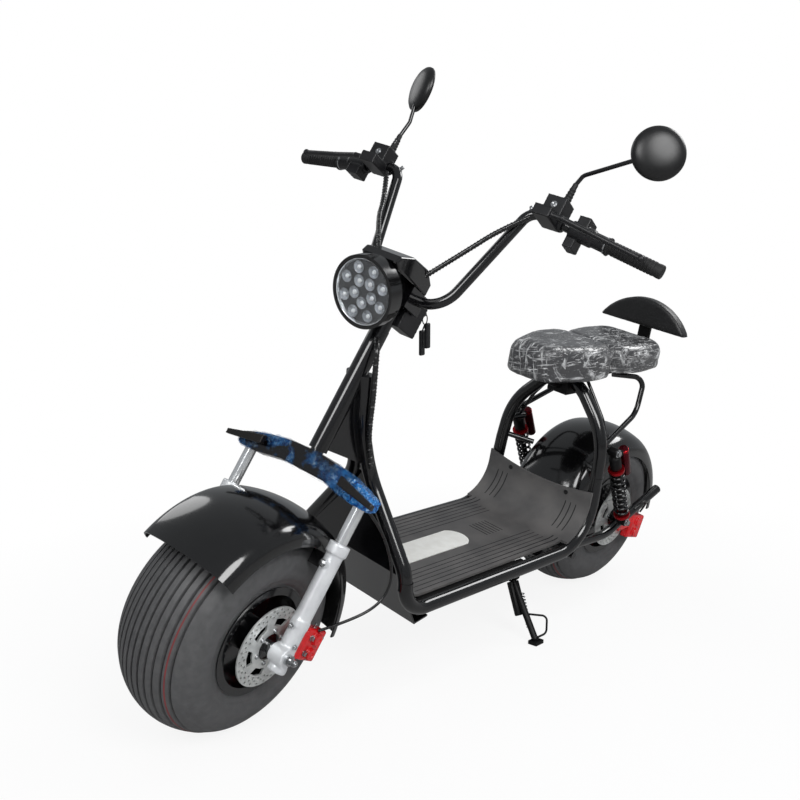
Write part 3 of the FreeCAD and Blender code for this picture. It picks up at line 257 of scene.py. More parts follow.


# Black synthetic leather under clear wrapping film: dark, with fine bright lines along its folds that are
# painted highlights of the film in its colour; the same lines give the folds' bumps
def wrappedLeather():
    material, tree, shader, place = newMaterial("filmOnLeather")
    foldsAndPaintedGlints = []
    for turned, scale in (((0.5, 0.35, 0.9), (26, 26, 150)), ((-0.7, 0.5, -0.4), (18, 120, 22))):
        stretch = addNode(tree, "Mapping", {"Rotation": turned, "Scale": scale}, {"Vector": place})
        line = addNode(tree, "TexNoise", {"Scale": 1.0, "Detail": 5.0, "Roughness": 0.6,
                                          "Distortion": 0.9}, {"Vector": stretch})
        sharp = addNode(tree, "MapRange", {"From Min": 0.54, "From Max": 0.66}, {"Value": line})
        foldsAndPaintedGlints.append(sharp)
    area = addNode(tree, "TexNoise", {"Scale": 16.0, "Detail": 2.0}, {"Vector": place})
    where = addNode(tree, "MapRange", {"From Min": 0.3, "From Max": 0.55}, {"Value": area})
    most = addNode(tree, "Math", links={0: foldsAndPaintedGlints[0], 1: foldsAndPaintedGlints[1]}, operation="MAXIMUM")
    paintedGlint = addNode(tree, "Math", links={0: most, 1: where}, operation="MULTIPLY")
    # pale grey to near white along the fold lines: painted highlight of the film
    tones = addNode(tree, "ValToRGB", links={"Fac": paintedGlint})
    tones.color_ramp.elements[0].color = hexColour("#3b3b3d")
    tones.color_ramp.elements[1].color = hexColour("#d8d9da")
    bump = addNode(tree, "Bump", {"Strength": 0.8, "Distance": 0.002}, {"Height": most})
    linkTo(tree, shader, {"Base Color": tones, "Normal": bump, "Coat Normal": bump})
    shader.inputs["Roughness"].default_value = 0.36
    shader.inputs["Coat Weight"].default_value = 1.0
    shader.inputs["Coat Roughness"].default_value = 0.14
    return material


# The crown's blue film, its shape and how it bunches at the left end, in metres
filmSize = {"voxel": 0.004, "rounds": 3, "lift": 0.0022, "leftEnd": (0.02, 0.185, 0.305),
            "bunched": (0.045, 0.12)}


# Blue protective film, crinkled and half torn away, saturated blue near the left end; the blue-white on its
# crinkles is painted highlight in its colour
def blueFilm():
    material, tree, shader, place = newMaterial("blueWrap")
    crease = addNode(tree, "TexNoise", {"Scale": 85.0, "Detail": 4.0, "Distortion": 1.6},
                     {"Vector": place})
    # the pale blue-white end of this ramp is painted glints on the crinkles
    tones = addNode(tree, "ValToRGB", links={"Fac": crease})
    ramp = tones.color_ramp
    ramp.elements[0].position = 0.38
    ramp.elements[0].color = hexColour("#0b3f86")
    ramp.elements[1].position = 0.74
    ramp.elements[1].color = hexColour("#c8e2f6")
    middle = ramp.elements.new(0.55)
    middle.color = hexColour("#2d86d0")
    bump = addNode(tree, "Bump", {"Strength": 0.8, "Distance": 0.003}, {"Height": crease})
    shader.inputs["Roughness"].default_value = 0.14
    patch = addNode(tree, "TexNoise", {"Scale": 24.0, "Detail": 3.0}, {"Vector": place})
    torn = addNode(tree, "MapRange", {"From Min": 0.5, "From Max": 0.62, "To Max": 0.3}, {"Value": patch})
    leftEnd = forkSpace @ Vector(filmSize["leftEnd"])
    near, far = filmSize["bunched"]
    away = addNode(tree, "VectorMath", {1: tuple(leftEnd)}, {0: place}, operation="DISTANCE")
    bunched = addNode(tree, "MapRange", {"From Min": near, "From Max": far, "To Min": 0.85,
                                         "To Max": 0.0}, {"Value": away.outputs["Value"]})
    cover = addNode(tree, "Math", links={0: torn, 1: bunched}, operation="ADD")
    bounded = addNode(tree, "Math", {1: 0.9}, {0: cover}, operation="MINIMUM")
    linkTo(tree, shader, {"Base Color": tones, "Normal": bump, "Alpha": bounded})
    return material


# Metres: the floor's width, and where its lit surface fades into plain white
backdrop = {"floor": 40, "fadeFrom": 0.7, "fadeTo": 1.7}


# White to the eye and dim in reflections; lit as a pale matt surface otherwise, so a shadow stays
def backdropMaterial(name):
    material = bpy.data.materials.new(name)
    tree = emptyTree(material)
    rays = addNode(tree, "LightPath")
    white = addNode(tree, "Emission", {"Color": (1, 1, 1, 1), "Strength": 1.0})
    dulled = addNode(tree, "MapRange", {"To Min": 0.86, "To Max": 0.2},
                     {"Value": rays.outputs["Is Glossy Ray"]})
    matt = addNode(tree, "BsdfDiffuse", links={"Color": dulled})
    mirrored = addNode(tree, "Math", {1: 0.16}, {0: rays.outputs["Is Glossy Ray"]}, operation="MULTIPLY")
    seen = addNode(tree, "Math", links={0: rays.outputs["Is Camera Ray"],
                                        1: mirrored}, operation="MAXIMUM")
    through = addNode(tree, "Math", links={0: seen, 1: rays.outputs["Is Transmission Ray"]},
                      operation="MAXIMUM")
    place = addNode(tree, "TexCoord").outputs["Object"]
    reach = addNode(tree, "VectorMath", links={0: place}, operation="LENGTH")
    near = addNode(tree, "MapRange",
                   {"From Min": backdrop["fadeFrom"], "From Max": backdrop["fadeTo"], "To Min": 0.88,
                    "To Max": 1.0}, {"Value": reach.outputs["Value"]})
    share = addNode(tree, "Math", links={0: through, 1: near}, operation="MULTIPLY")
    mix = addNode(tree, "MixShader", links={0: share, 1: matt, 2: white})
    addNode(tree, "OutputMaterial", links={"Surface": mix})
    return material


def addWorld():
    world = bpy.data.worlds.new("studio")
    tree = emptyTree(world)
    rays = addNode(tree, "LightPath")
    seen = addNode(tree, "Math", links={0: rays.outputs["Is Camera Ray"],
                                        1: rays.outputs["Is Transmission Ray"]},
                   operation="MAXIMUM")
    soft = addNode(tree, "Background", {"Color": hexColour("#e8ecf0"), "Strength": 0.32})
    white = addNode(tree, "Background", {"Color": (1, 1, 1, 1), "Strength": 1.0})
    mix = addNode(tree, "MixShader", links={0: seen, 1: soft, 2: white})
    addNode(tree, "OutputWorld", links={"Surface": mix})
    bpy.context.scene.world = world


addCamera()
addLights()
addWorld()
bpy.context.scene.view_settings.view_transform = "Standard"
bpy.ops.mesh.primitive_plane_add(size=backdrop["floor"])
floor = bpy.context.object
floor.name = "floor"
floor.data.materials.append(backdropMaterial("paleFloor"))

materials = {name: finish(name, look) for name, look in looks.items()}
materials["filmOnLeather"] = wrappedLeather()
materials["blueWrap"] = blueFilm()
print("camera, lights and", len(materials), "materials made")


# Finishes of the CAD solids that are seen as they are; finer pieces stand for the others, further down
solidFinish = {
    "blackLacquer": ["frame_tubes", "seat_hoop", "head_tube", "nose_panel", "frame_brackets", "swingarm",
                     "steering_stem", "handlebar", "seat_supports", "hub_motor", "front_rim"],
    "glossAbs": ["front_fender", "rear_fender", "dash_cover", "headlight"],
    "powderCoat": ["battery_box", "seat_pans", "stand_leg"],
    "satinPlastic": ["keys"],
    "hardChrome": ["fork_stanchions"],
    "zincPlate": ["front_axle"],
    "matRubber": ["floor_mat"],
    "paleInsert": ["foot_pad"],
    "redLens": ["tail_lamp"],
}
for finishName, labels in solidFinish.items():
    for label in labels:
        solid = nodes[label]
        solid.data.materials.clear()
        solid.data.materials.append(materials[finishName])


# How a piece is put together
def active(piece):
    bpy.ops.object.select_all(action="DESELECT")
    piece.select_set(True)
    bpy.context.view_layer.objects.active = piece


def linked(name, data):
    piece = bpy.data.objects.new(name, data)
    bpy.context.scene.collection.objects.link(piece)
    return piece


def modified(piece, kind, **settings):
    modifier = piece.modifiers.new(kind.lower(), kind)
    for name, value in settings.items():
        setattr(modifier, name, value)


def applyAll(piece):
    active(piece)
    for modifier in list(piece.modifiers):
        bpy.ops.object.modifier_apply(modifier=modifier.name)


# Mesh operators run one after another on the whole of a piece
def edited(piece, *steps):
    active(piece)
    bpy.ops.object.mode_set(mode="EDIT")
    for operator, values in steps:
        bpy.ops.mesh.select_all(action="SELECT")
        operator(**values)
    bpy.ops.object.mode_set(mode="OBJECT")


outward = (bpy.ops.mesh.normals_make_consistent, {"inside": False})


# A piece drawn about Z moved to a place in millimetres, with Z turned to an axis
def placed(piece, place, axis=(0, 0, 1)):
    turnTo = Vector((0, 0, 1)).rotation_difference(Vector(axis)).to_matrix().to_4x4()
    piece.data.transform(Matrix.Translation(Vector(place) / 1000) @ turnTo)
    return piece


def onSide(place, side):
    return Vector((place[0], side * place[1], place[2]))


def joined(pieces):
    bpy.ops.object.select_all(action="DESELECT")
    for piece in pieces:
        piece.select_set(True)
    bpy.context.view_layer.objects.active = pieces[0]
    if len(pieces) > 1:
        bpy.ops.object.join()
    return bpy.context.object


# Puts a finished piece in its place, with its finish, on the body that carries it
def settle(piece, name, body, material, stands=(), smooth=35, space=None):
    piece.name = name
    piece.data.name = name
    piece.data.transform((spaces[body] if space is None else space) @ piece.matrix_world)
    piece.matrix_world = Matrix.Identity(4)
    edited(piece, outward)
    bpy.ops.object.shade_smooth_by_angle(angle=math.radians(smooth))
    piece.data.materials.clear()
    piece.data.materials.append(materials[material])
    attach(piece, body)
    if stands:
        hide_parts(*stands)


# An outline of (along, radius) pairs in millimetres spun about an axis
def spun(outline, steps, axis="Y", closed=True):
    swap = {"Y": lambda a, r: (r, a, 0), "X": lambda a, r: (a, r, 0), "Z": lambda a, r: (r, 0, a)}[axis]
    line = {"Y": (0, 1, 0), "X": (1, 0, 0), "Z": (0, 0, 1)}[axis]
    points = [Vector(swap(a, r)) / 1000 for a, r in outline]
    count = len(points)
    mesh = bpy.data.meshes.new("spun")
    mesh.from_pydata(points, [(i, (i + 1) % count) for i in range(count if closed else count - 1)], [])
    piece = linked("spun", mesh)
    edited(piece,
           (bpy.ops.mesh.spin, {"steps": steps, "angle": math.tau, "center": (0, 0, 0), "axis": line}),
           (bpy.ops.mesh.remove_doubles, {"threshold": 0.00001}))
    return piece


# A smooth tube through a short table of points, in millimetres
def hose(points, radius, order=3, resolution=8, sides=6):
    line = bpy.data.curves.new("hose", "CURVE")
    line.dimensions = "3D"
    spline = line.splines.new("NURBS")
    spline.points.add(len(points) - 1)
    for point, place in zip(spline.points, points):
        point.co = (*[value / 1000 for value in place], 1)
    spline.order_u = order
    spline.use_endpoint_u = True
    line.resolution_u = resolution
    line.bevel_depth = radius / 1000
    line.bevel_resolution = sides
    line.use_fill_caps = True
    active(linked("hose", line))
    bpy.ops.object.convert(target="MESH")
    return bpy.context.object


# Points of a coil about Z, in millimetres
def helix(radius, low, high, turns, perTurn):
    count = int(turns * perTurn)
    points = []
    for index in range(count + 1):
        angle = index / perTurn * math.tau
        points.append((radius * math.cos(angle), radius * math.sin(angle),
                       low + (high - low) * index / count))
    return points


def block(size, rounding, segments):
    bpy.ops.mesh.primitive_cube_add(size=1)
    piece = bpy.context.object
    piece.scale = Vector(size) / 1000
    bpy.ops.object.transform_apply(location=False, rotation=False, scale=True)
    modified(piece, "BEVEL", width=rounding / 1000, segments=segments)
    applyAll(piece)
    return piece


# Shares of the head's radius, or of its height for the recess, and the washer's thickness in millimetres
screwSize = {"recessWall": 0.45, "recess": 0.5, "edge": 0.1, "washerRadius": 1.35, "washer": 1.2}


# A washer and a bolt's head, in millimetres; kind is hex, or socket with a recess in its end
def screw(place, axis, radius, height, kind="hex"):
    bpy.ops.mesh.primitive_cylinder_add(vertices=6 if kind == "hex" else 24, radius=radius / 1000,
                                        depth=height / 1000, location=(0, 0, (height / 2 + 1) / 1000))
    head = bpy.context.object
    if kind == "socket":
        bpy.ops.object.mode_set(mode="EDIT")
        bpy.ops.mesh.select_all(action="DESELECT")
        bpy.ops.object.mode_set(mode="OBJECT")
        for face in head.data.polygons:
            face.select = face.normal.z > 0.9
        sunk = -height * screwSize["recess"] / 1000
        bpy.ops.object.mode_set(mode="EDIT")
        bpy.ops.mesh.select_mode(type="FACE")
        bpy.ops.mesh.inset(thickness=radius * screwSize["recessWall"] / 1000)
        bpy.ops.mesh.extrude_region_move(TRANSFORM_OT_translate={"value": (0, 0, sunk)})
        bpy.ops.object.mode_set(mode="OBJECT")
    modified(head, "BEVEL", width=radius * screwSize["edge"] / 1000, segments=2)
    applyAll(head)
    bpy.ops.mesh.primitive_cylinder_add(vertices=24, radius=radius * screwSize["washerRadius"] / 1000,
                                        depth=screwSize["washer"] / 1000,
                                        location=(0, 0, screwSize["washer"] / 2000))
    both = joined([head, bpy.context.object])
    both.data.transform(both.matrix_world)
    both.matrix_world = Matrix.Identity(4)
    return placed(both, place, axis)


def screws(name, table, body, material="zincPlate"):
    settle(joined([screw(*row) for row in table]), name, body, material, smooth=30)


# Tyres: nine ribs of tread, a rounded wall and two moulded rings on it
tyreSize = {
    "radius": 228, "crown": 134.2, "tread": 78,
    "grooves": (8, 24, 40, 56, 72), "grooveWidth": 5.2, "grooveDepth": 6.5, "grooveSlope": 0.7,
    "lead": 5, "lip": 0.5, "lipDrop": 0.6,
    "wallCentre": (49.8, 153.7), "wallRadius": 56.8, "wallDegrees": (58, -39, -4),
    "rings": (38, 34, -22, -26), "ringDepth": 0.9,
    "bead": ((94, 118), (94, 104.2)),
    "stripeAt": 64, "stripeHalf": 1.3, "steps": 168,
}


def onTread(side):
    return tyreSize["radius"] - tyreSize["crown"] + math.sqrt(tyreSize["crown"] ** 2 - side ** 2)


def tyreOutline():
    half = [(0, onTread(0))]
    wide = tyreSize["grooveWidth"] / 2
    slope = tyreSize["grooveSlope"]
    for groove in tyreSize["grooves"]:
        base = onTread(groove) - tyreSize["grooveDepth"]
        near = groove - wide
        far = groove + wide
        past = far + tyreSize["lip"]
        for along in (near - tyreSize["lead"], near - tyreSize["lip"]):
            half.append((along, onTread(along)))
        half += [(near, onTread(near) - tyreSize["lipDrop"]), (near + slope, base), (far - slope, base),
                 (far, onTread(far) - tyreSize["lipDrop"]), (past, onTread(min(past, tyreSize["tread"])))]
    centre = tyreSize["wallCentre"]
    for degrees in range(*tyreSize["wallDegrees"]):
        angle = math.radians(degrees)
        reach = tyreSize["wallRadius"] - (tyreSize["ringDepth"] if degrees in tyreSize["rings"] else 0)
        half.append((centre[0] + reach * math.cos(angle), centre[1] + reach * math.sin(angle)))
    half += tyreSize["bead"]
    left = [(-along, radius) for along, radius in reversed(half[1:])]
    return left + half


for wheel in ("front", "rear"):
    settle(spun(tyreOutline(), tyreSize["steps"]), wheel + "Tread", wheel + "_wheel", "tyreCompound",
           (wheel + "_tyre",), smooth=32)
    at = tyreSize["stripeAt"]
    low = at - tyreSize["stripeHalf"]
    high = at + tyreSize["stripeHalf"]
    stripe = spun([(low, onTread(low) + 0.3), (at, onTread(at) + 0.5), (high, onTread(high) + 0.3),
                   (at, onTread(at) - 1.5)], tyreSize["steps"])
    settle(stripe, wheel + "TreadStripe", wheel + "_wheel", "redRubber")
print("tyres made")


# Brake discs: six windows and three rows of drilled holes
discSize = {
    "inner": 28, "outer": 85, "faces": (114, 118), "edge": 0.6, "middle": 116, "through": 20,
    "holeRadius": 2.6, "rows": ((66.5, 24, 0.0), (73.0, 24, 0.5), (79.5, 24, 0.0)),  # radius, count, offset
    "windows": 6, "window": ((46, 6), (46, 23), (46, 40), (61, 46), (61, 28), (61, 10)),  # radius, degrees
    "bolts": 6, "boltCircle": 34, "firstBolt": 0.3,
}


def polar(radius, angle, along):
    return Vector((radius * math.cos(angle), along, radius * math.sin(angle)))


def drilledDisc():
    low, high = discSize["faces"]
    inner, outer, edge = discSize["inner"], discSize["outer"], discSize["edge"]
    disc = spun([(low, inner), (high, inner), (high, outer - edge), (high - edge, outer), (low + edge, outer),
                 (low, outer - edge)], 144)
    cutters = []
    for radius, count, offset in discSize["rows"]:
        for index in range(count):
            angle = (index + offset) / count * math.tau
            bpy.ops.mesh.primitive_cylinder_add(
                vertices=12, radius=discSize["holeRadius"] / 1000, depth=discSize["through"] / 1000,
                rotation=(math.pi / 2, 0, 0), location=polar(radius, angle, discSize["middle"]) / 1000)
            cutters.append(bpy.context.object)
    for index in range(discSize["windows"]):
        start = index * 360 / discSize["windows"]
        back = discSize["middle"] - discSize["through"] / 2
        flat = [polar(radius, math.radians(start + degrees), back) / 1000
                for radius, degrees in discSize["window"]]
        mesh = bpy.data.meshes.new("window")
        mesh.from_pydata(flat, [], [tuple(range(len(flat)))])
        window = linked("window", mesh)
        push = {"value": (0, discSize["through"] / 1000, 0)}
        edited(window, (bpy.ops.mesh.extrude_region_move, {"TRANSFORM_OT_translate": push}), outward)
        cutters.append(window)
    cutter = joined(cutters)
    edited(disc, outward)
    modified(disc, "BOOLEAN", operation="DIFFERENCE", object=cutter, solver="EXACT")
    applyAll(disc)
    bpy.data.objects.remove(cutter)
    return disc


frontDisc = drilledDisc()
discs = {"front": frontDisc, "rear": linked("rearDisc", frontDisc.data.copy())}
for wheel in ("front", "rear"):
    settle(discs[wheel], wheel + "DrilledDisc", wheel + "_wheel", "groundSteel",
           (wheel + "_disc",), smooth=25)
    ringOfBolts = [(polar(discSize["boltCircle"], angle, discSize["faces"][1]), (0, 1, 0), 3.6, 3.0, "socket")
                   for angle in [math.tau * index / discSize["bolts"] + discSize["firstBolt"]
                                 for index in range(discSize["bolts"])]]
    screws(wheel + "DiscBolts", ringOfBolts, wheel + "_wheel")
print("discs made")


# Lamp: outlines of its dark plate, bright cups with their emitters, trim, thin clear cover and bezel; the
# emitters' white caps are painted glints
lampSize = {
    "rings": ((23, 5, 0.5), (49, 8, 0.5)),     # radius, count, offset of the first
    "plate": [(-9.0, 0.0), (-8.3, 0.0), (-8.3, 65.5), (-9.0, 66.0)],
    "cup": [(-8.2, 0.0), (-8.0, 4.0), (-6.4, 8.2), (-4.6, 11.5), (-4.9, 12.3), (-7.9, 11.9), (-8.4, 0.0)],
    "emitter": [(-8.0, 4.8), (-6.0, 4.4), (-4.2, 2.8), (-3.4, 0.0)],
    "trim": [(-8.2, 62.5), (-2.8, 65.2), (-2.4, 66.2), (-8.4, 66.2)],
    "cover": [(-2.6, 66.6), (-1.6, 66.6), (-0.9, 60.0), (-0.5, 30.0), (-0.4, 0.0), (-1.6, 0.0),
              (-1.8, 30.0), (-2.2, 60.0)],
    "bezel": [(-2.0, 66.8), (-0.2, 67.4), (0.0, 70.0), (-0.4, 73.4), (-6.0, 73.9), (-6.0, 73.0),
              (-1.4, 69.4), (-2.0, 67.6)],
}


def atEachLight(outline, steps):
    copies = []
    for radius, count, offset in lampSize["rings"]:
        for index in range(count):
            angle = (index + offset) / count * math.tau
            copies.append(placed(spun(outline, steps, "X", closed=False),
                                 (0, radius * math.sin(angle), radius * math.cos(angle))))
    return joined(copies)


def settleLamp(piece, name, finishName, stands=()):
    settle(piece, name, "fork", finishName, stands, space=lampSpace)


settleLamp(spun(lampSize["plate"], 96, "X", closed=False), "lampPlate", "lampPlate")
settleLamp(atEachLight(lampSize["cup"], 20), "lampCups", "silveredCup")
# white caps: painted glints on the emitters
settleLamp(atEachLight(lampSize["emitter"], 16), "lampEmitters", "glintWhiteCap")
settleLamp(spun(lampSize["trim"], 96, "X"), "lampTrimRing", "hardChrome")
settleLamp(spun(lampSize["cover"], 96, "X"), "lampCover", "clearPolycarbonate",
           ("headlight_lens",))
settleLamp(spun(lampSize["bezel"], 120, "X"), "lampBezel", "glossAbs")
print("lamp made")


# A node's solid remade in small even faces and smoothed, so that its edges are rounded over
def voxelCopy(label, name, voxel, rounds):
    copy = linked(name, nodes[label].data.copy())
    edited(copy, (bpy.ops.mesh.remove_doubles, {"threshold": 0.0001}))
    modified(copy, "REMESH", mode="VOXEL", voxel_size=voxel)
    modified(copy, "SMOOTH", factor=0.5, iterations=rounds)
    applyAll(copy)
    return copy


# Moves vertices along their normals, which are copied first: each move makes Blender work them all out anew
def pushed(piece, amount):
    normals = [vertex.normal.copy() for vertex in piece.data.vertices]
    for vertex, normal in zip(piece.data.vertices, normals):
        vertex.co += normal * amount(vertex.co, normal)


inPlace = Matrix.Identity(4)     # for copies of nodes, which lie where they should


def bodyOf(label):
    for body, labels in frame["record"]["behaviour"]["bodies"].items():
        if label in labels:
            return body
    return "frame"


# Soft goods: voxel copies of the cushions, rounded, then puckered under their film
cushionSize = {
    # node: piece, voxel size and pucker in metres, smoothing rounds, finish, slot
    "front_seat": ("frontCushion", 0.005, 0.0007, 8, "filmOnLeather", "seat_leather"),
    "rear_seat": ("rearCushion", 0.005, 0.0007, 8, "filmOnLeather", "seat_leather"),
    "back_pad": ("backCushion", 0.004, 0.0003, 7, "plainLeather", "pad_leather"),
}


def cushion(label):
    name, voxel, pucker, rounds, finishName, slotName = cushionSize[label]
    copy = voxelCopy(label, name, voxel, rounds)
    modified(copy, "SUBSURF", levels=1, render_levels=1)
    applyAll(copy)
    down = parked.to_3x3() @ Vector((0, 0, -1))
    centre = sum((vertex.co for vertex in copy.data.vertices), Vector()) / len(copy.data.vertices)

    # small folds all over, and broad ones that run to the middle and are deepest on the sides
    def folds(place, normal):
        side = 1 - abs(normal.dot(down))
        small = noise.noise(place * 34) + 0.6 * noise.noise(place * 90 + Vector((3, 1, 2)))
        radial = noise.noise((place - centre).normalized() * 9 + Vector((0, 0, 5)))
        return pucker * (small + radial * (0.4 + side))

    pushed(copy, folds)
    settle(copy, name, bodyOf(label), finishName, (label,), smooth=60, space=inPlace)


for label in cushionSize:
    cushion(label)
print("cushions made")


# Sprung units: damper, coil, red collars and side reservoir
shockSize = {
    "top": (152, 160, 462), "bottom": (24, 160, 240),
    "coils": 8.5, "coilRadius": 17.6, "wire": 3.4, "coilSpan": (30, 190),
    "eye": [(-12, 6.2), (12, 6.2), (12, 11.6), (10.6, 12.8), (-10.6, 12.8), (-12, 11.6)],
    "collars": ((22, 31), (189, 198)), "collarRadius": 22,
    "tank": [(0, 0.1), (0, 11), (3, 13), (74, 13), (78, 12), (88, 12), (92, 10), (94, 0.1)],
    "cap": [(79, 12.4), (79.6, 13.2), (87.0, 13.2), (87.6, 12.4)],
    "tankAside": 40, "tankDown": 108, "bridgeDown": 24, "bridgeRadius": 8,
}


def collar(low, high):
    radius = shockSize["collarRadius"]
    return spun([(low, 10), (low, radius - 0.6), (low + 1.2, radius), (high - 1.2, radius),
                 (high, radius - 0.6), (high, 10)], 48, "Z")


def shock(side):
    top = onSide(shockSize["top"], side)
    bottom = onSide(shockSize["bottom"], side)
    along = (top - bottom).normalized()
    length = (top - bottom).length
    aside = Vector((-along.z, 0, along.x))
    local = (Matrix.Translation(bottom / 1000)
             @ Matrix((along.cross(aside), aside, along)).transposed().to_4x4())
    coil = hose(helix(shockSize["coilRadius"], *shockSize["coilSpan"], shockSize["coils"], 12),
                shockSize["wire"], resolution=3, sides=3)
    damper = spun([(10, 0.1), (10, 11), (24, 13), (30, 8), (150, 8), (150, 11), (200, 11), (202, 15.5),
                   (length - 18, 15.5), (length - 12, 11), (length - 8, 0.1)], 32, "Z", closed=False)
    bridge = hose([(0, share * shockSize["tankAside"], length - shockSize["bridgeDown"])
                   for share in (0.1, 0.5, 1)], shockSize["bridgeRadius"], sides=5)
    eyes = [placed(spun(shockSize["eye"], 32, "X"), (0, 0, place)) for place in (0, length)]
    beside = (0, shockSize["tankAside"], length - shockSize["tankDown"])
    parts = {
        "shockBodies": [damper, bridge] + eyes,
        "shockCoils": [coil],
        "shockCollars": [collar(low, high) for low, high in shockSize["collars"]]
        + [placed(spun(shockSize["cap"], 40, "Z"), beside)],
        "shockTanks": [placed(spun(shockSize["tank"], 40, "Z", closed=False), beside)],
    }
    for pieces in parts.values():
        for piece in pieces:
            piece.data.transform(local)
    return parts


bothShocks = [shock(1), shock(-1)]
for name, finishName, stands, smooth in (("shockBodies", "powderCoat", ("shocks",), 35),
                                         ("shockCoils", "blackLacquer", (), 60),
                                         ("shockCollars", "redAnodised", (), 35),
                                         ("shockTanks", "darkRedAnodised", (), 35)):
    settle(joined([piece for parts in bothShocks for piece in parts[name]]), name, "frame", finishName,
           stands, smooth)
print("shocks made")


# Grips: ribbed rubber with a flange and a rounded end, and a ring at the inner end of each
gripSize = {
    "corner": (-34, 170, 1002), "end": (-71, 458, 974),      # the bar's outer stretch
    "ringAt": 340, "from": 344, "to": 463, "ribs": 13, "firstRib": 12, "pitch": 7.2,
    "ribFoot": 13.4, "ribTop": 14.5,
    "flange": [(0, 11.2), (0, 17.6), (1.2, 18.5), (4.0, 18.5), (5.2, 17.4), (6.0, 14.0)],
    "ring": [(0, 15.6), (0, 17.2), (3.0, 17.2), (3.0, 15.6)],
}


def onBar(half):
    corner = Vector(gripSize["corner"])
    end = Vector(gripSize["end"])
    return corner + (end - corner) * ((half - corner.y) / (end.y - corner.y))


# An outline spun about both ends of the bar, from a distance from its middle
def roundBar(outline, start, closed):
    place = onBar(start)
    run = onBar(gripSize["to"]) - place
    return joined([placed(spun(outline, 40, "Z", closed=closed), onSide(place, side), onSide(run, side))
                   for side in (1, -1)])


def gripOutline():
    length = (onBar(gripSize["to"]) - onBar(gripSize["from"])).length
    foot, top = gripSize["ribFoot"], gripSize["ribTop"]
    outline = list(gripSize["flange"])
    for rib in range(gripSize["ribs"]):
        base = gripSize["firstRib"] + rib * gripSize["pitch"]
        outline += [(base, foot), (base + 0.8, top), (base + 4.8, top), (base + 5.6, foot)]
    return outline + [(length - 8, 14.4), (length - 2, 14.4), (length - 0.4, 13.0), (length, 9.0),
                      (length, 0.1)]


settle(roundBar(gripOutline(), gripSize["from"], False), "ribbedGrips", "fork", "gripRubber",
       ("grips",))


# Mirrors: domed shells, glass, stalks and pleated boots
mirrorTable = {
    "left": {"root": (-46, 224, 1034), "bootTop": (-40, 229, 1081), "bend": (-34, 238, 1101),
             "head": (18, 385, 1162), "back": (0.853, 0.516, -0.08)},
    "right": {"root": (-46, -224, 1034), "bootTop": (-46, -223, 1080), "bend": (-53, -222, 1119),
              "head": (-54, -236, 1202), "back": (0.801, -0.56, -0.186)},
}
mirrorSize = {
    "shell": [(-5, 49.5), (-5, 51.0), (-3.5, 52), (1, 52), (5, 50.0), (9.5, 44.5), (13.0, 36.0),
              (15.4, 25.0), (16.6, 12.0), (17, 0.0)],
    "glass": [(-4.4, 0.0), (-4.6, 30), (-4.9, 49.6), (-3.0, 49.6), (-3.0, 0.0)],
    "stalk": 4.4, "stalkEnd": (-36, 3),     # before the shell's middle, and behind it
    "boot": 9.6, "pleats": 6, "pleatDepth": 1.4, "pleatTaper": 0.5,
}


def bootOutline(lift):
    outline = [(0, mirrorSize["boot"])]
    for pleat in range(mirrorSize["pleats"]):
        base = lift * (pleat + 0.2) / 7
        radius = mirrorSize["boot"] - pleat * mirrorSize["pleatTaper"]
        outline += [(base, radius), (base + lift / 14, radius - mirrorSize["pleatDepth"])]
    return outline + [(lift, 5.6), (lift + 2, 4.6)]


shells = []
glasses = []
stalks = []
boots = []
for rows in mirrorTable.values():
    root, bootTop, bend, head, back = [Vector(value) for value in rows.values()]
    back.normalize()
    shells.append(placed(spun(mirrorSize["shell"], 72, "Z", closed=False), head, back))
    glasses.append(placed(spun(mirrorSize["glass"], 72, "Z", closed=False), head, back))
    before, behind = mirrorSize["stalkEnd"]
    arrive = head + (head - bend).normalized() * before + back * behind
    stalks.append(hose([bootTop - (bend - bootTop) * 0.6, bootTop.lerp(bend, 0.55), bend,
                        bend.lerp(arrive, 0.12), bend.lerp(arrive, 0.5), arrive], mirrorSize["stalk"]))
    lift = bootTop - root
    boots.append(placed(spun(bootOutline(lift.length), 32, "Z", closed=False), root, lift))
settle(joined(shells), "mirrorShells", "fork", "softSheen", ("mirrors",))
settle(joined(stalks), "mirrorStalks", "fork", "blackLacquer", smooth=60)
settle(joined(boots), "mirrorBoots", "fork", "gripRubber")
settle(joined(glasses), "mirrorGlasses", "fork", "mirrorGlass")
print("grips and mirrors made")


# Cables: the two bar looms and the neck loom are wound with spiral wrap, the brake hoses are bare
loomTable = {
    "leftLoom": {"points": [(-14, 184, 980), (-6, 140, 933), (4, 104, 873), (8, 42, 788)],
                 "radius": 4.8, "body": "fork"},
    "rightLoom": {"points": [(-14, -184, 980), (-8, -150, 917), (20, -122, 866), (64, -42, 782)],
                  "radius": 4.8, "body": "fork"},
    "neckLoom": {"points": [(942, 18, 786), (958, 38, 776), (962, 44, 748), (953, 43, 668), (951, 42, 600),
                            (934, 38, 540), (906, 26, 478)],
                 "radius": 5.6, "body": "frame"},
}
hoseTable = {
    "frontBrakeHose": {"points": [(-14, 150, 322), (-70, 168, 302), (-126, 196, 252), (-158, 206, 206),
                                  (-160, 203, 158), (-128, 180, 106), (-92, 142, 58)],
                       "radius": 3.0, "body": "fork", "node": "bar_cables"},
    "rearBrakeHose": {"points": [(-104, 140, 230), (-112, 152, 262), (-84, 153, 274), (-58, 146, 252)],
                      "radius": 2.6, "body": "frame", "node": "frame_cables"},
}
wrapSize = {"pitch": 7.5, "strand": 1.1, "clear": 0.4}


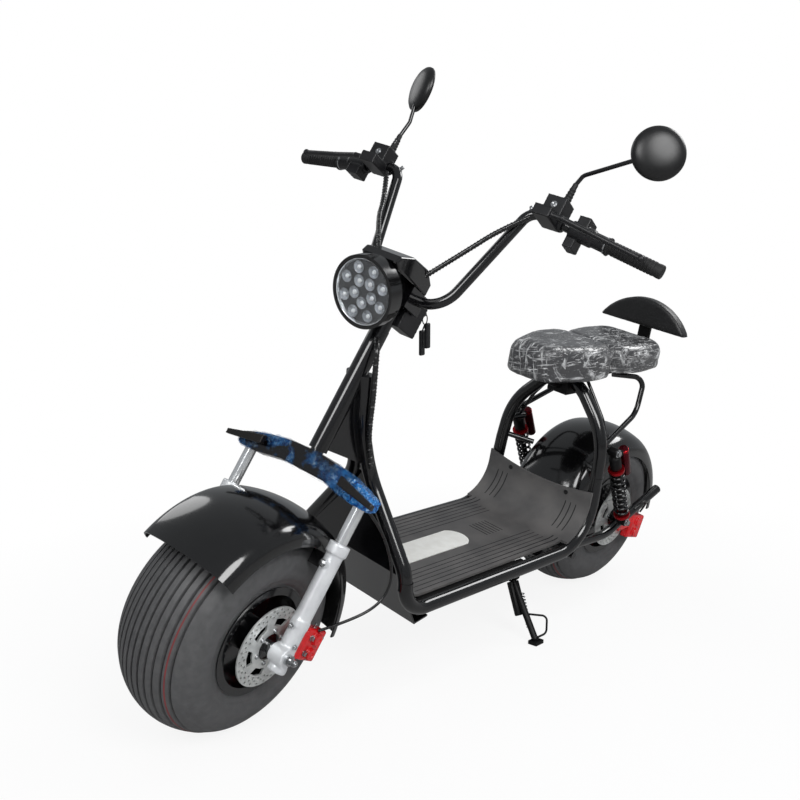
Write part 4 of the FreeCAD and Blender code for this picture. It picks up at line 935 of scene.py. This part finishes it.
def wrapped(points, radius):
    core = hose(points, radius, resolution=10)
    guide = hose(points, 0, resolution=24)
    places = [vertex.co * 1000 for vertex in guide.data.vertices]
    bpy.data.objects.remove(guide)
    pitch = wrapSize["pitch"]
    travelled = 0
    strip = []
    sideways = Vector((0.3, 0.5, 0.81))
    for first, second in zip(places, places[1:]):
        gap = second - first
        if gap.length < 0.01:
            continue
        along = gap.normalized()
        sideways = (sideways - along * sideways.dot(along)).normalized()
        other = along.cross(sideways)
        steps = max(1, int(gap.length / (pitch / 10)))
        for step in range(steps):
            angle = (travelled + gap.length * step / steps) / pitch * math.tau
            out = (sideways * math.cos(angle) + other * math.sin(angle)) * (radius + wrapSize["clear"])
            strip.append(first + gap * step / steps + out)
        travelled += gap.length
    return joined([core, hose(strip, wrapSize["strand"], order=2, resolution=1, sides=1)])


for name, rows in loomTable.items():
    settle(wrapped(rows["points"], rows["radius"]), name, rows["body"], "cableSheath",
           smooth=50)
for name, rows in hoseTable.items():
    settle(hose(rows["points"], rows["radius"]), name, rows["body"], "cableSheath",
           (rows["node"],), smooth=60)
print("cables made")


# Floor mat: moulded grooves along the deck, turned up with the flap, and a strip at each edge of the deck
matSize = {
    "top": 240, "front": 850, "curve": 94.5, "flapX": 227, "flapRise": 14,
    "ribHeight": 0.8, "ribWidth": 3.6, "ribSide": 0.9, "ribFoot": -1.0, "ribEnd": 0.3,
    "deckRibs": (68, 82, 96, 110), "longRibs": (124, 138), "flapRibs": (98, 114, 130),
    "crossRibs": 6, "crossHalf": 30, "crossFrom": 452, "crossPitch": 12, "crossTop": 240.2,
    "button": (228.6, 92, 338),
}
edgeSize = {"block": (390, 19, 6), "place": (658, 156.5, 228.5), "round": 1.5}


def matPath():
    curve = matSize["curve"]
    centre = Vector((matSize["flapX"] + 3 + curve, 0, matSize["top"] + curve))
    path = [Vector((matSize["front"], 0, matSize["top"])), Vector((centre.x, 0, matSize["top"]))]
    for degrees in range(8, 89, 8):
        angle = math.radians(270 - degrees)
        path.append(centre + Vector((math.cos(angle), 0, math.sin(angle))) * curve)
    path.append(centre + Vector((-curve, 0, matSize["flapRise"])))
    return path


# A low bar along the path, with its foot sunk in the mat
def rib(offset, path):
    places = []
    half = matSize["ribWidth"] / 2
    for index, point in enumerate(path):
        before = path[max(index - 1, 0)]
        after = path[min(index + 1, len(path) - 1)]
        up = Vector((0, 1, 0)).cross((after - before).normalized())
        if up.z < -0.01 or (abs(up.z) < 0.01 and up.x < 0):
            up = -up
        height = matSize["ribHeight"] * (matSize["ribEnd"] if index in (0, len(path) - 1) else 1)
        for side, rise in ((-half, matSize["ribFoot"]), (matSize["ribSide"] - half, height),
                           (half - matSize["ribSide"], height), (half, matSize["ribFoot"])):
            places.append((point + up * rise + Vector((0, offset + side, 0))) / 1000)
    faces = []
    for index in range(len(path) - 1):
        for corner in range(4):
            a = index * 4 + corner
            b = index * 4 + (corner + 1) % 4
            faces.append((a, b, b + 4, a + 4))
    last = (len(path) - 1) * 4
    faces += [(0, 1, 2, 3), (last + 3, last + 2, last + 1, last)]
    mesh = bpy.data.meshes.new("rib")
    mesh.from_pydata(places, [], faces)
    return linked("rib", mesh)


longPath = matPath()
grooves = []
for offsets, path in ((matSize["deckRibs"], longPath[:2]), (matSize["longRibs"], longPath[:4]),
                      (matSize["flapRibs"], longPath[5:12])):
    grooves += [rib(side * offset, path) for side in (1, -1) for offset in offsets]
for index in range(matSize["crossRibs"]):
    across = rib(0, [Vector((-matSize["crossHalf"], 0, 0)), Vector((matSize["crossHalf"], 0, 0))])
    across.data.transform(turn(90, "Z"))
    grooves.append(placed(across, (matSize["crossFrom"] - index * matSize["crossPitch"], 0,
                                   matSize["crossTop"])))
# the grooves are low near-black bars: painted shade where the mat's grooves are
settle(joined(grooves), "matGrooves", "frame", "grooveShadeBlack", smooth=30)
screws("matButtons", [(onSide(matSize["button"], side), (1, 0, 0), 6, 2, "socket") for side in (1, -1)],
       "frame", "grooveShadeBlack")
edges = [placed(block(edgeSize["block"], edgeSize["round"], 2), onSide(edgeSize["place"], side))
         for side in (1, -1)]
settle(joined(edges), "deckEdges", "frame", "powderCoat")
print("mat made")


# Mouldings and castings whose edges are rounded over
roundedTable = {
    # node: piece, voxel size in metres, smoothing rounds, finish, slot
    "bar_switches": ("switchMouldings", 0.0014, 5, "satinPlastic", "switch_plastic"),
    "brake_levers": ("leverCastings", 0.0014, 5, "satinPlastic", "lever_black"),
    "front_caliper": ("frontCaliperCasting", 0.0013, 5, "redEnamel", "caliper_red"),
    "rear_caliper": ("rearCaliperCasting", 0.0013, 5, "redEnamel", "caliper_red"),
    "turn_signals": ("signalMouldings", 0.0013, 4, "smokedLens", "signal_plastic"),
    "ignition_box": ("ignitionMoulding", 0.0018, 4, "satinPlastic", "switch_plastic"),
    "fork_sliders": ("sliderCastings", 0.0020, 4, "silverCasting", "slider_silver"),
    "fork_crown": ("crownCasting", 0.0022, 4, "blackLacquer", "gloss_black"),
}


def crinkled(place, normal):
    return filmSize["lift"] * (1 + noise.noise(place * 70) + 0.5 * noise.noise(place * 190))


for label, (name, voxel, rounds, finishName, slotName) in roundedTable.items():
    settle(voxelCopy(label, name, voxel, rounds), name, bodyOf(label), finishName, (label,),
           smooth=60, space=inPlace)
film = voxelCopy("fork_crown", "crownFilm", filmSize["voxel"], filmSize["rounds"])
pushed(film, crinkled)
settle(film, "crownFilm", "fork", "blueWrap", smooth=25, space=inPlace)
print("castings and film made")


# Fasteners and small fittings
boltTable = {
    # piece: body, slot, then each bolt's place, direction, radius, height and kind
    "forkBolts": ("fork", "slider_silver", [
        ((28, 149, 60), (0, 1, 0), 5, 4, "socket"), ((10, 167.5, 26), (0, 1, 0), 4.2, 4, "socket"),
        ((10, 186, 0), (0, 1, 0), 4.5, 3, "socket"), ((10, -186, 0), (0, -1, 0), 4.5, 3, "socket"),
        ((28, 149, 192), (1, 0, 0), 6, 4), ((28, -149, 192), (1, 0, 0), 6, 4)]),
    "caliperBolts": ("fork", "caliper_red", [
        ((-78, 143.5, 41), (0, 1, 0), 5, 5), ((-110, 143.5, 12), (0, 1, 0), 4, 3, "socket"),
        ((-78, 143.5, 8), (0, 1, 0), 5, 5), ((-112, 143.5, 45), (0, 1, 0), 4, 3, "socket")]),
    "crownBolts": ("fork", "gloss_black", [
        ((0, 120, 343), (0, 0.2, 1), 7, 5), ((0, -120, 343), (0, -0.2, 1), 7, 5)]),
    "clampBolts": ("fork", "gloss_black", [
        ((-26, 26, 757), (0, 0, 1), 5, 5, "socket"), ((-26, -26, 757), (0, 0, 1), 5, 5, "socket")]),
    "frameBolts": ("frame", "gloss_black", [
        (onSide(place, side), (0, side, 0), radius, 6)
        for place, radius in (((271, 158.5, 202), 9), ((152, 172.5, 462), 8), ((24, 172.5, 240), 8))
        for side in (1, -1)]),
    "reservoirScrews": ("fork", "lever_black", [
        (onSide(place, side), direction, radius, height, "socket") for side in (1, -1)
        for place, direction, radius, height in (((-5.2, 224, 1017), (1, 0, 0), 5, 2),
                                                 ((-29, 211, 1036), (0, 0, 1), 3, 1.5),
                                                 ((-29, 238, 1036), (0, 0, 1), 3, 1.5))]),
}
capSize = {"outline": [(149, 12.4), (151, 12.4), (152.2, 11), (152.2, 5.6), (150.6, 4.8), (150.6, 0)],
           "places": ((-95, 0, 9), (-95, 0, 41))}
channelSize = {"top": (450, 122, 168), "foot": (474, 246, 0), "block": (27, 17, 84), "round": 3, "start": 14}
springSize = {"top": (437, 153, 133), "bottom": (449, 201, 64), "turns": 11, "radius": 5.6, "wire": 1.5}

for name, (body, slotName, rows) in boltTable.items():
    screws(name, rows, body)
settle(roundBar(gripSize["ring"], gripSize["ringAt"], True), "gripRings", "fork", "zincPlate")
caps = [placed(spun(capSize["outline"], 32, closed=False), place) for place in capSize["places"]]
settle(joined(caps), "frontCaliperCaps", "fork", "redEnamel")
screws("bleedNipple", [((-95, 128, 59), (0, 0, 1), 3.2, 8)], "fork")
screws("riserClips", [((-34, side * 170, 1001.5), (0.04, side * -0.565, 0.82), 4.5, 8) for side in (1, -1)],
       "fork")

channelTop = Vector(channelSize["top"])
channelRun = (Vector(channelSize["foot"]) - channelTop).normalized()
channelMiddle = channelTop + channelRun * (channelSize["start"] + channelSize["block"][2] / 2)
channel = placed(block(channelSize["block"], channelSize["round"], 3), channelMiddle, channelRun)
settle(channel, "standChannel", "stand", "powderCoat")

springRun = Vector(springSize["bottom"]) - Vector(springSize["top"])
coil = helix(springSize["radius"], 0, springRun.length, springSize["turns"], 10)
spring = placed(hose(coil, springSize["wire"], resolution=2, sides=2), springSize["top"], springRun)
settle(spring, "standSpring", "stand", "zincPlate", smooth=60)
print("fasteners made")
